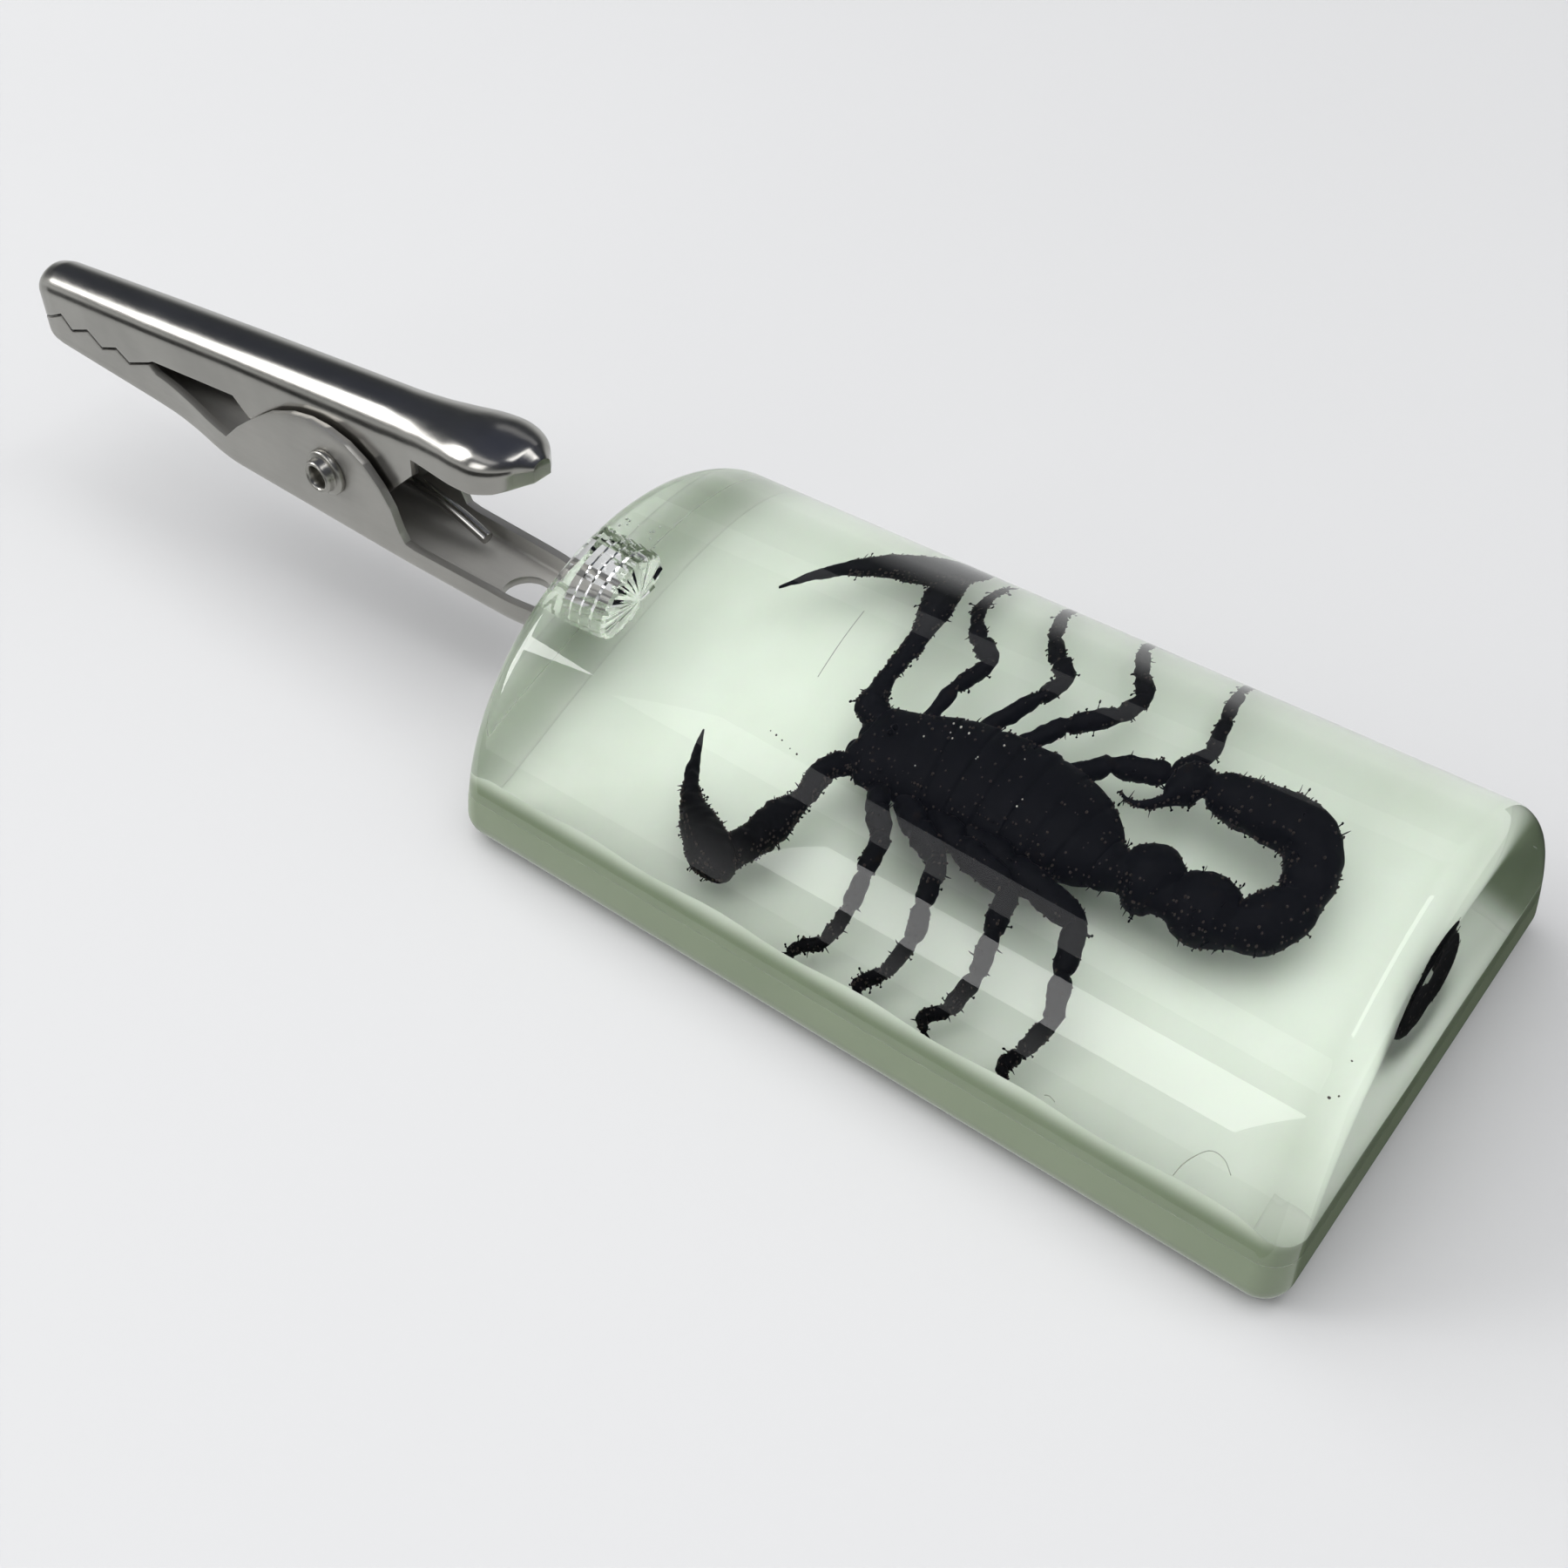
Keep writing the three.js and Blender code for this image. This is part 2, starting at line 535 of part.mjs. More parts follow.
function spring() {
  const section = new THREE.Shape();
  for (let i = 0; i < WIRE_SIDES; i += 1) {
    const angle = (2 * Math.PI * i) / WIRE_SIDES;
    const x = WIRE_RADIUS * Math.cos(angle);
    const y = WIRE_RADIUS * Math.sin(angle);
    if (i === 0) section.moveTo(x, y);
    else section.lineTo(x, y);
  }
  return new THREE.ExtrudeGeometry(section, { steps: SPRING_STEPS, extrudePath: new SpringPath() });
}

// ---------------------------------------------------------------- materials and assembly

function finish(color, roughness, metalness, opacity = 1) {
  return new THREE.MeshStandardMaterial({
    color, roughness, metalness, opacity, transparent: opacity < 1, flatShading: true,
  });
}

function part(name, geometry, material) {
  const mesh = new THREE.Mesh(geometry, material);
  mesh.name = name;
  return mesh;
}

const bar = toSolid(barGeometry());
const beyond = BAR_LENGTH; // outside the bar on every side
const pocket = specimen(6, 4, POCKET_GAP);
const socket = toSolid(new THREE.CylinderGeometry(SOCKET_RADIUS, SOCKET_RADIUS, 2 * SOCKET_DEPTH, 24)
  .rotateZ(Math.PI / 2)
  .translate(-BAR_LENGTH / 2 + END_DRAFT * SOCKET_Z, SOCKET_Y, SOCKET_Z));

const backing = bar.intersect(box([-beyond, -beyond, -1], [beyond, beyond, BACKING_TOP]));
const resinLower = bar.intersect(box([-beyond, -beyond, BACKING_TOP], [beyond, beyond, PARTING])).subtract(pocket);
const resinUpper = bar.intersect(box([-beyond, -beyond, PARTING], [beyond, beyond, beyond]))
  .subtract(pocket)
  .subtract(socket);

const resin = finish('#dfe8d8', 0.05, 0, 0.35);
const nickel = finish('#b9b7b2', 0.25, 1);

const clip = new THREE.Group();
clip.position.set(CLIP_X, SOCKET_Y, CLIP_Z);
clip.rotation.set(0, -CLIP_TILT, Math.PI, 'ZYX');
clip.add(
  part('clip_lower_jaw', toGeometry(lowerJaw()), nickel),
  part('clip_upper_jaw', toGeometry(upperJaw()), nickel.clone()),
  part('rivet', rivet(), finish('#a5a19a', 0.35, 1)),
  part('torsion_spring', spring(), finish('#c6c2bb', 0.3, 1)),
);

const object = new THREE.Group();
object.add(
  part('glow_backing', toGeometry(backing), finish('#b4c3ab', 0.5, 0)),
  part('resin_lower', toGeometry(resinLower), resin),
  part('resin_upper', toGeometry(resinUpper), resin.clone()),
  part('scorpion', toGeometry(specimen(8, 5, 0)), finish('#0d0f13', 0.45, 0)),
  clip,
);

export default object;
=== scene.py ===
"""Looks for the scorpion in a half-round resin bar with an alligator clip.

Lengths below are millimetres and turn into metres where a mesh is made. The bar lies along X with
its base on z = 0. The clip's pieces are made in the clip's own frame (u to the tip, v across, w up).
"""
import math
import random

import bmesh
import bpy
from mathutils import Matrix, Vector, noise
from mathutils.geometry import tessellate_polygon


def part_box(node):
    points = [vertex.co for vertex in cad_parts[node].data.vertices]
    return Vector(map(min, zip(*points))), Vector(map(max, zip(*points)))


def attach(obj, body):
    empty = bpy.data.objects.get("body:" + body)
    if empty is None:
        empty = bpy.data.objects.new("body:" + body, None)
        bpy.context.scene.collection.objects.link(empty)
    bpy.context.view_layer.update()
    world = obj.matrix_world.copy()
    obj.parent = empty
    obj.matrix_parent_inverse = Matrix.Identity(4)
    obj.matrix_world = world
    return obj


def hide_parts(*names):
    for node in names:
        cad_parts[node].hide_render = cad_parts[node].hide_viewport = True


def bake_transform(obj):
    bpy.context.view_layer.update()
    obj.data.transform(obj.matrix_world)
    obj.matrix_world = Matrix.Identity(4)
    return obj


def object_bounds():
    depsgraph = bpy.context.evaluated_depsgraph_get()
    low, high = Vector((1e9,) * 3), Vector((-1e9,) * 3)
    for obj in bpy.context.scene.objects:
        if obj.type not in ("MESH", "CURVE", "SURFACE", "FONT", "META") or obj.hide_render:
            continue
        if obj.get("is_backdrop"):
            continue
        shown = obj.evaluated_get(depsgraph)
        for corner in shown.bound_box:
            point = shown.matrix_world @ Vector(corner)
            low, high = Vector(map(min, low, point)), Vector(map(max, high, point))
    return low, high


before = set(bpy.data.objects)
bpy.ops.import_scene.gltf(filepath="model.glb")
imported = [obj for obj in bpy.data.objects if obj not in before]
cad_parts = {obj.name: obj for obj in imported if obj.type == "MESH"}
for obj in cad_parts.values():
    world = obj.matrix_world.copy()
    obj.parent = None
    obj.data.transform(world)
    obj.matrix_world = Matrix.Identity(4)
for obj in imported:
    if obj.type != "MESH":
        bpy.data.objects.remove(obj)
CAD_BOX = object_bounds()

MM = 0.001

# ---- driving dimensions

BAR_LENGTH = 44.0
HALF_LENGTH = BAR_LENGTH / 2
BAR_RADIUS = 13.19
EDGE_ROUND = 1.4
INNER_RADIUS = BAR_RADIUS - EDGE_ROUND
END_DRAFT = 0.06
BACKING_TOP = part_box("glow_backing")[1].z / MM
RESIN_SINK = 0.004  # the clear resin bites this far into the backing, so no air gap shows
LOW_ANGLE = math.asin(EDGE_ROUND / INNER_RADIUS)

# The backing climbs the walls in a low curb: its height and width along each wall.
MENISCUS = 1.5
MENISCUS_WIDTH = 1.3
FAR_MENISCUS_WIDTH = 4.0
END_MENISCUS = 1.0
END_MENISCUS_WIDTH = 1.9
CURB_FOOT = 0.2  # how deep the curbs reach into the backing
SKIN = 0.012  # clear resin left outside the long curbs
END_SKIN = 0.008  # and outside the end ones

SOCKET_Y = -1.7
SOCKET_Z = 7.25
SOCKET_RADIUS = 2.15
SOCKET_DEPTH = 2.8

BODY_Z = 4.9  # the specimen's mid-plane

CLIP_ORIGIN = Vector((-39.4, SOCKET_Y, 9.6))
CLIP_TILT = math.radians(3.5)
PIVOT_U = -0.3
SHEET = 0.45
SHEET_BEVEL = 0.05
JAW_TIP = 26.64
EAR_HALF = 2.5

# The camera: where it stands and its right and up directions.
CAMERA_AT = Vector((30.574, -52.137, 62.659))
CAMERA_RIGHT = Vector((0.78498, 0.61925, -0.01844))
CAMERA_UP = Vector((-0.41462, 0.54724, 0.72706))
CAMERA_LENS = 41.56


# ---- mesh helpers

def add_object(name, data):
    added = bpy.data.objects.new(name, data)
    bpy.context.scene.collection.objects.link(added)
    return added


def make_object(name, verts, faces):
    """A smooth mesh object from points in millimetres, with its faces turned outwards."""
    mesh = bpy.data.meshes.new(name)
    mesh.from_pydata([Vector(p) * MM for p in verts], [], faces)
    mesh.validate()
    mesh.shade_smooth()
    bm = bmesh.new()
    bm.from_mesh(mesh)
    bmesh.ops.recalc_face_normals(bm, faces=bm.faces)
    bm.to_mesh(mesh)
    bm.free()
    return add_object(name, mesh)


def loft(rings, first=0, caps=True, closed=True):
    """Points and faces through equally long rings, with points numbered from first.

    Closed rings make a tube and others a strip; caps fill the first and the last ring.
    """
    count = len(rings[0])
    verts = [p for ring in rings for p in ring]
    faces = []
    for r in range(len(rings) - 1):
        for i in range(count if closed else count - 1):
            a = first + r * count + i
            b = first + r * count + (i + 1) % count
            faces.append((a, b, b + count, a + count))
    if caps:
        last = first + (len(rings) - 1) * count
        faces.append(tuple(reversed(range(first, first + count))))
        faces.append(tuple(range(last, last + count)))
    return verts, faces


def add_materials(piece, *materials):
    for material in materials:
        piece.data.materials.append(material)


def apply_modifiers(piece):
    bpy.context.view_layer.update()
    graph = bpy.context.evaluated_depsgraph_get()
    mesh = bpy.data.meshes.new_from_object(piece.evaluated_get(graph))
    piece.modifiers.clear()
    old = piece.data
    piece.data = mesh
    bpy.data.meshes.remove(old)
    mesh.name = piece.name


def modifier(piece, kind, **settings):
    added = piece.modifiers.new(kind.lower(), kind)
    for key, value in settings.items():
        setattr(added, key, value)
    return added


def bevel(piece, width, angle):
    """Rounds the edges that turn by more than angle degrees."""
    modifier(piece, "BEVEL", width=width * MM, segments=2, limit_method="ANGLE",
             angle_limit=math.radians(angle))
    apply_modifiers(piece)


def circle(count):
    """Cosine and sine of evenly spaced angles."""
    angles = [2 * math.pi * i / count for i in range(count)]
    return [(math.cos(angle), math.sin(angle)) for angle in angles]


def heading(points, k):
    """The direction in which a line of points runs at number k."""
    return (points[min(k + 1, len(points) - 1)] - points[max(k - 1, 0)]).normalized()


def mirrored(points):
    """The points on the other side of y = 0, in reverse order."""
    return [(x, -y, z) for x, y, z in reversed(points)]


def spline(rows, step):
    """Catmull-Rom through rows of numbers, with a new row about every step of the first three."""
    out = []
    last = len(rows) - 1
    for k in range(last):
        p0, p1, p2, p3 = rows[max(k - 1, 0)], rows[k], rows[k + 1], rows[min(k + 2, last)]
        gap = math.dist(p1[:3], p2[:3])
        parts = max(1, round(gap / step))
        for i in range(parts):
            t = i / parts
            out.append([
                0.5 * (2 * b + (c - a) * t + (2 * a - 5 * b + 4 * c - d) * t * t
                       + (3 * b - a - 3 * c + d) * t ** 3)
                for a, b, c, d in zip(p0, p1, p2, p3)
            ])
    out.append(list(rows[-1]))
    return out


def smooth_step(low, high, x):
    t = min(1.0, max(0.0, (x - low) / (high - low)))
    return t * t * (3 - 2 * t)


# ---- material helpers

def fill_ramp(elements, stops):
    """Sets a new colour ramp to the given (position, colour) stops, in rising order."""
    # a new ramp has two elements, which become the last and the first stop
    for element, (at, colour) in ((elements[1], stops[-1]), (elements[0], stops[0])):
        element.position = at
        element.color = (*colour, 1.0)
    for at, colour in stops[1:-1]:
        elements.new(at).color = (*colour, 1.0)


class Nodes:
    """Short names for building a material's node tree."""

    def __init__(self, name):
        self.material = bpy.data.materials.new(name)
        self.material.use_nodes = True
        self.tree = self.material.node_tree
        self.shader = self.tree.nodes["Principled BSDF"]
        self.output = self.tree.nodes["Material Output"]
        self.place = self.add("ShaderNodeTexCoord").outputs["Object"]

    def add(self, kind, **settings):
        node = self.tree.nodes.new(kind)
        for key, value in settings.items():
            setattr(node, key, value)
        return node

    def link(self, source, target):
        self.tree.links.new(source, target)

    def fill(self, node, **values):
        """Fills a node's sockets, or links those whose value is another node's output."""
        for key, value in values.items():
            socket = node.inputs[key.replace("_", " ")]
            if isinstance(value, bpy.types.NodeSocket):
                self.link(value, socket)
            else:
                socket.default_value = value
        return node

    def set(self, **values):
        self.fill(self.shader, **values)

    def noise(self, scale, detail=4.0, rough=0.55, stretch=None):
        """Fractal noise; scale is in features per metre."""
        node = self.fill(self.add("ShaderNodeTexNoise"), Scale=scale, Detail=detail, Roughness=rough)
        place = self.place
        if stretch:
            mapping = self.fill(self.add("ShaderNodeMapping"), Scale=stretch, Vector=place)
            place = mapping.outputs["Vector"]
        return self.fill(node, Vector=place).outputs["Fac"]

    def span(self, value, low, high, to_low, to_high, easing="LINEAR"):
        """Maps value from low..high to to_low..to_high."""
        node = self.add("ShaderNodeMapRange", interpolation_type=easing)
        self.fill(node, Value=value, From_Min=low, From_Max=high, To_Min=to_low, To_Max=to_high)
        return node.outputs["Result"]

    def ramp(self, value, stops):
        node = self.fill(self.add("ShaderNodeValToRGB"), Fac=value)
        fill_ramp(node.color_ramp.elements, stops)
        return node.outputs["Color"]

    def mottle(self, scale, detail, low, high):
        """Colours the surface with fractal noise between two colours."""
        self.set(Base_Color=self.ramp(self.noise(scale, detail), [(0.3, low), (0.7, high)]))

    def bump(self, height, strength, distance, under=None):
        node = self.add("ShaderNodeBump")
        self.fill(node, Height=height, Strength=strength, Distance=distance)
        if under:
            self.fill(node, Normal=under)
        return node.outputs["Normal"]


# ---- materials

def resin_material():
    m = Nodes("clear_resin")
    m.set(Base_Color=(1, 1, 1, 1), Transmission_Weight=1.0, IOR=1.5, Roughness=0.0)
    absorb = m.fill(m.add("ShaderNodeVolumeAbsorption"), Color=(0.80, 0.92, 0.78, 1), Density=10.0)
    m.fill(m.output, Volume=absorb.outputs["Volume"])
    m.set(Roughness=m.span(m.noise(900, 2), 0.35, 0.75, 0.0, 0.02))
    return m.material


# The backing's colours: each place's two, which its clouds vary between. Only the first pair is the layer's
# own pale green; the others are painted shade on its sides, along the far curb, near the end walls and low
# on the curb walls.
LIGHT_GREEN = ((0.77, 0.84, 0.72), (0.83, 0.90, 0.79))
SHADED_SIDE_GREEN = ((0.175, 0.215, 0.14), (0.2, 0.24, 0.16))
FAR_SHADE_GREEN = ((0.22, 0.27, 0.18), (0.25, 0.30, 0.21))
END_SHADE_GREEN = ((0.58, 0.65, 0.53), (0.62, 0.69, 0.57))
CURB_WALL_SHADE_GREEN = ((0.32, 0.385, 0.26), (0.35, 0.415, 0.29))


def backing_material(name, low, high=None, fade=None, polished=False):
    """The backing in the colours low; with high, they fade to those over fade: axis, from, to."""
    m = Nodes(name)
    cloud = m.noise(180, 5)
    clouds = (0.3, 0.7)
    colour = m.ramp(cloud, list(zip(clouds, low)))
    if high:
        axis, start, end = fade
        other = m.ramp(cloud, list(zip(clouds, high)))
        split = m.fill(m.add("ShaderNodeSeparateXYZ"), Vector=m.place)
        away = m.fill(m.add("ShaderNodeMath", operation="ABSOLUTE"), Value=split.outputs[axis])
        share = m.span(away.outputs[0], start * MM, end * MM, 0.0, 1.0, "SMOOTHSTEP")
        mix = m.fill(m.add("ShaderNodeMix", data_type="RGBA"), Factor=share)
        m.link(colour, mix.inputs[6])
        m.link(other, mix.inputs[7])
        colour = mix.outputs[2]
    m.set(Base_Color=colour, Roughness=0.22 if polished else 0.9, IOR=1.5)
    m.set(Specular_IOR_Level=0.5 if polished else 0.0)
    m.set(Subsurface_Weight=0.15, Subsurface_Radius=(0.6, 0.9, 0.5), Subsurface_Scale=0.0008)
    m.set(Normal=m.bump(m.noise(5200, 3), 0.06, 0.00006))
    return m.material


def cuticle_material():
    m = Nodes("cuticle")
    mottle = m.noise(700, 6, 0.65)
    colour = m.ramp(mottle, [(0.35, (0.001, 0.001, 0.0022)), (0.62, (0.0025, 0.0025, 0.004)),
                             (0.8, (0.012, 0.007, 0.004))])
    m.set(Base_Color=colour, Roughness=m.span(mottle, 0.3, 0.7, 0.5, 0.7), IOR=1.5)
    m.set(Specular_IOR_Level=0.06, Normal=m.bump(m.noise(1500, 3), 0.2, 0.00006))
    return m.material


def nickel_material(name, tone, rough, stretch, metal=1.0):
    m = Nodes(name)
    streak = m.noise(420, 6, 0.7, stretch)
    blotch = m.noise(160, 4)
    low = tuple(c * 0.86 for c in tone)
    m.set(Base_Color=m.ramp(blotch, [(0.35, low), (0.65, tone)]), Metallic=metal)
    m.set(Roughness=m.span(streak, 0.3, 0.7, rough * 0.85, rough * 1.2))
    pits = m.bump(m.noise(7000, 3, 0.7), 0.012, 0.00003)
    m.set(Normal=m.bump(streak, 0.004, 0.00005, pits))
    return m.material


def fleck_material(name, colour):
    m = Nodes(name)
    m.mottle(9000, 3, tuple(c * 0.8 for c in colour), colour)
    m.set(Roughness=0.7)
    return m.material


# ---- the bar

ARCH_STEPS = 120
ROUND_STEPS = 14
LIFTS = [math.pi / 2 * i / ROUND_STEPS for i in range(ROUND_STEPS + 1)]


def along_bar(point, out, end, lift, half):
    """Sets the point's place along the bar, and returns it with its normal."""
    point.x = end * (half + EDGE_ROUND * math.sin(lift))
    end_normal = Vector((end, 0, END_DRAFT)).normalized()
    return point, (out * math.cos(lift) + end_normal * math.sin(lift)).normalized()


def bar_point(end, lift, angle):
    """A point of the rounded bar and its normal: lift turns from the side (0) to the end face."""
    out = Vector((0, math.cos(angle), math.sin(angle)))
    inner_z = INNER_RADIUS * math.sin(angle)
    half = HALF_LENGTH - EDGE_ROUND - END_DRAFT * (inner_z - EDGE_ROUND)
    return along_bar(out * (INNER_RADIUS + EDGE_ROUND * math.cos(lift)), out, end, lift, half)


def corner_point(end, lift, angle):
    """The same for the rounded long edge along the base; angle runs from the arch to straight down."""
    middle = Vector((0, INNER_RADIUS * math.cos(LOW_ANGLE), EDGE_ROUND))
    out = Vector((0, math.cos(angle), math.sin(angle)))
    point = middle + out * EDGE_ROUND * math.cos(lift)
    return along_bar(point, out, end, lift, HALF_LENGTH - EDGE_ROUND)


def bar_rings(ring_at):
    order = [(-1, lift) for lift in reversed(LIFTS)] + [(1, lift) for lift in LIFTS]
    return [ring_at(end, lift) for end, lift in order]


def set_normals(piece, point_normals, flat):
    """Exact normals: the given one at each point, but the face's own on faces whose number is in flat."""
    mesh = piece.data
    loops = [None] * len(mesh.loops)
    for polygon in mesh.polygons:
        for loop in polygon.loop_indices:
            given = point_normals[mesh.loops[loop].vertex_index]
            loops[loop] = polygon.normal if polygon.index in flat or given is None else given
    mesh.normals_split_custom_set(loops)


SOCKET_SIDES = 132
SOCKET_RIDGES = 22
# Rings along the wall: depth, share of the radius, and how far the ridges stand in.
SOCKET_WALL = [
    (0.0, 1.0, 0.0), (0.1, 1.0, 0.03), (0.45, 0.97, 0.06), (0.6, 1.0, 0.04), (1.05, 0.96, 0.07),
    (1.2, 0.99, 0.04), (1.7, 0.95, 0.07), (1.9, 0.98, 0.05), (2.45, 0.94, 0.06),
]
# Rings over the dished end: share of the radius, and extra depth.
SOCKET_DISH = [(0.86, 0.0), (0.55, 0.2), (0.25, 0.34), (0.06, 0.38)]


def end_x(z):
    """How far the leaning end faces stand from the middle at height z."""
    return HALF_LENGTH - END_DRAFT * (z - EDGE_ROUND)


def socket_rings():
    """The drilled socket from its rim inwards: torn ridges along the wall and a facetted, dished end."""
    rng = random.Random(7)
    flutes = [rng.uniform(0.2, 1.0) for _ in range(SOCKET_RIDGES)]
    tilts = [rng.uniform(-0.6, 0.6) for _ in range(SOCKET_RIDGES)]

    def ridge(i):
        turn = i / SOCKET_SIDES * SOCKET_RIDGES
        k = int(turn)
        share = turn - k
        return flutes[k] * (1 - abs(2 * share - 1)) + tilts[k] * (share - 0.5)

    rim_x = -end_x(SOCKET_Z)
    rows = []
    for depth, share, rib in SOCKET_WALL:
        rows.append([(rim_x + depth, share - rib * ridge(i)) for i in range(SOCKET_SIDES)])
    for share, dish in SOCKET_DISH:
        floor_x = rim_x + SOCKET_DEPTH - 0.1 + dish
        rows.append([(floor_x - 0.5 * ridge(i) * share, share) for i in range(SOCKET_SIDES)])
    rings = []
    for row in rows:
        ring = []
        for (x, share), (c, s) in zip(row, circle(SOCKET_SIDES)):
            reach = SOCKET_RADIUS * share
            ring.append(Vector((x, SOCKET_Y + reach * c, SOCKET_Z + reach * s)))
        rings.append(ring)
    # the rim lies in the leaning end face
    for point in rings[0]:
        point.x = -end_x(point.z)
    return rings


def clear_resin():
    base = BACKING_TOP - RESIN_SINK

    def ring_at(end, lift):
        low = math.asin(base / (INNER_RADIUS + EDGE_ROUND * math.cos(lift)))
        angles = [low + (math.pi - 2 * low) * i / ARCH_STEPS for i in range(ARCH_STEPS + 1)]
        return [bar_point(end, lift, angle) for angle in angles]

    rings = bar_rings(ring_at)
    verts, faces = loft([[p for p, _ in ring] for ring in rings], caps=False)
    normals = [n for ring in rings for _, n in ring]
    count = ARCH_STEPS + 1
    flat = set(r * count + ARCH_STEPS for r in range(len(rings) - 1))  # the underside

    # the end face away from the clip is whole, the other one has the socket's mouth
    whole_end = (len(rings) - 1) * count
    flat.add(len(faces))
    faces.append(tuple(range(whole_end, whole_end + count)))
    wall = socket_rings()
    wall_count = len(wall[0])
    wall_first = len(verts)
    wall_verts, wall_faces = loft(wall, wall_first, caps=False)
    outline = [Vector((p.y, p.z, 0)) for p in verts[:count]]
    mouth = [Vector((p.y, p.z, 0)) for p in wall[0]]
    numbers = [*range(count), *range(wall_first, wall_first + wall_count)]
    for triangle in tessellate_polygon([outline, mouth]):
        flat.add(len(faces))
        faces.append(tuple(numbers[k] for k in triangle))
    verts += wall_verts
    normals += [None] * len(wall_verts)
    faces += wall_faces
    last = wall_first + (len(wall) - 1) * wall_count
    faces.append(tuple(range(last, last + wall_count)))

    piece = make_object("clear_resin", verts, faces)
    # the socket's own faces keep their flat normals, which makes its facets glint
    for polygon in piece.data.polygons:
        if all(v >= wall_first for v in polygon.vertices):
            flat.add(polygon.index)
    set_normals(piece, normals, flat)
    add_materials(piece, resin_material())
    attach(piece, "block")
    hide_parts("resin_upper", "resin_lower")


CURB_WALL_ROWS = 8
CURB_SLOPE_ROWS = 12
CURB_HOLLOW = 1.3  # above 1 the slope is rounder at its crest
CURB_TOE = 1.06  # the section ends this share of its width from the wall, inside the backing


def curb_section(wall_at, foot_at, rise):
    """One section of a curb: up the wall, then down an even slope; both functions give a point."""
    base = BACKING_TOP - CURB_FOOT
    top = BACKING_TOP + rise
    ring = [wall_at(base + (top - base) * i / CURB_WALL_ROWS) for i in range(CURB_WALL_ROWS + 1)]
    for i in range(1, CURB_SLOPE_ROWS + 1):
        share = i / CURB_SLOPE_ROWS
        ring.append(foot_at(share, top - rise * math.sin(math.pi / 2 * share) ** CURB_HOLLOW))
    ring.append(foot_at(CURB_TOE, base))
    return ring


def spread(reach, steps):
    """Places from -reach to reach that lie closer together near both ends."""
    return [reach * math.sin(math.pi / 2 * (2 * k / steps - 1)) for k in range(steps + 1)]


def long_curb_rings(side, width):
    """The curb that the backing forms against a long wall: sections from one end to the other."""
    rings = []
    for x in spread(HALF_LENGTH - 0.2, 60):
        share = smooth_step(0.2, 2.6, HALF_LENGTH - abs(x))
        wave = 1 + 0.06 * math.sin(x * 0.8)
        rise = (END_MENISCUS + (MENISCUS - END_MENISCUS) * share) * wave
        # how far the rounded, leaning end of the bar has turned in at this place
        lean = END_DRAFT * (BACKING_TOP + rise - EDGE_ROUND)
        over = max(0.0, abs(x) - (HALF_LENGTH - EDGE_ROUND - lean)) / EDGE_ROUND
        radius = INNER_RADIUS + EDGE_ROUND * math.sqrt(max(0.0, 1 - over * over)) - SKIN
        crest = math.sqrt(radius ** 2 - (BACKING_TOP + rise) ** 2)
        rings.append(curb_section(
            lambda z: (x, side * math.sqrt(radius ** 2 - z * z), z),
            lambda t, z: (x, side * (crest - width * t), z),
            rise))
    return rings


def end_curb_rings(end):
    """The lower curb against an end wall, from one long wall to the other."""
    rings = []
    inset = 0.25
    reach = math.sqrt(BAR_RADIUS ** 2 - (BACKING_TOP + END_MENISCUS) ** 2) - inset
    for y in spread(reach, 48):
        over = max(0.0, abs(y) - (reach + inset - EDGE_ROUND))
        wall = HALF_LENGTH - END_SKIN - EDGE_ROUND + math.sqrt(EDGE_ROUND ** 2 - over ** 2)
        wave = 1 + 0.08 * math.sin(y * 0.7)
        rise = END_MENISCUS * wave
        crest = wall - END_DRAFT * (BACKING_TOP + rise - EDGE_ROUND)
        rings.append(curb_section(
            lambda z: (end * (wall - END_DRAFT * (z - EDGE_ROUND)), y, z),
            lambda t, z: (end * (crest - END_MENISCUS_WIDTH * t), y, z),
            rise))
    return rings


# Where the colours fade between the pale green and the painted shade: along which axis, from and to which
# distance from the middle.
END_SHADE_FADE = ("X", HALF_LENGTH - END_MENISCUS_WIDTH - 2.0, HALF_LENGTH)
WALL_SHADE_FADE = ("Z", BACKING_TOP + 0.6, BACKING_TOP + MENISCUS + 0.1)
CREST_Y = math.sqrt(BAR_RADIUS ** 2 - (BACKING_TOP + MENISCUS) ** 2)
FAR_SHADE_FADE = ("Y", CREST_Y - FAR_MENISCUS_WIDTH, CREST_Y - 2.2)


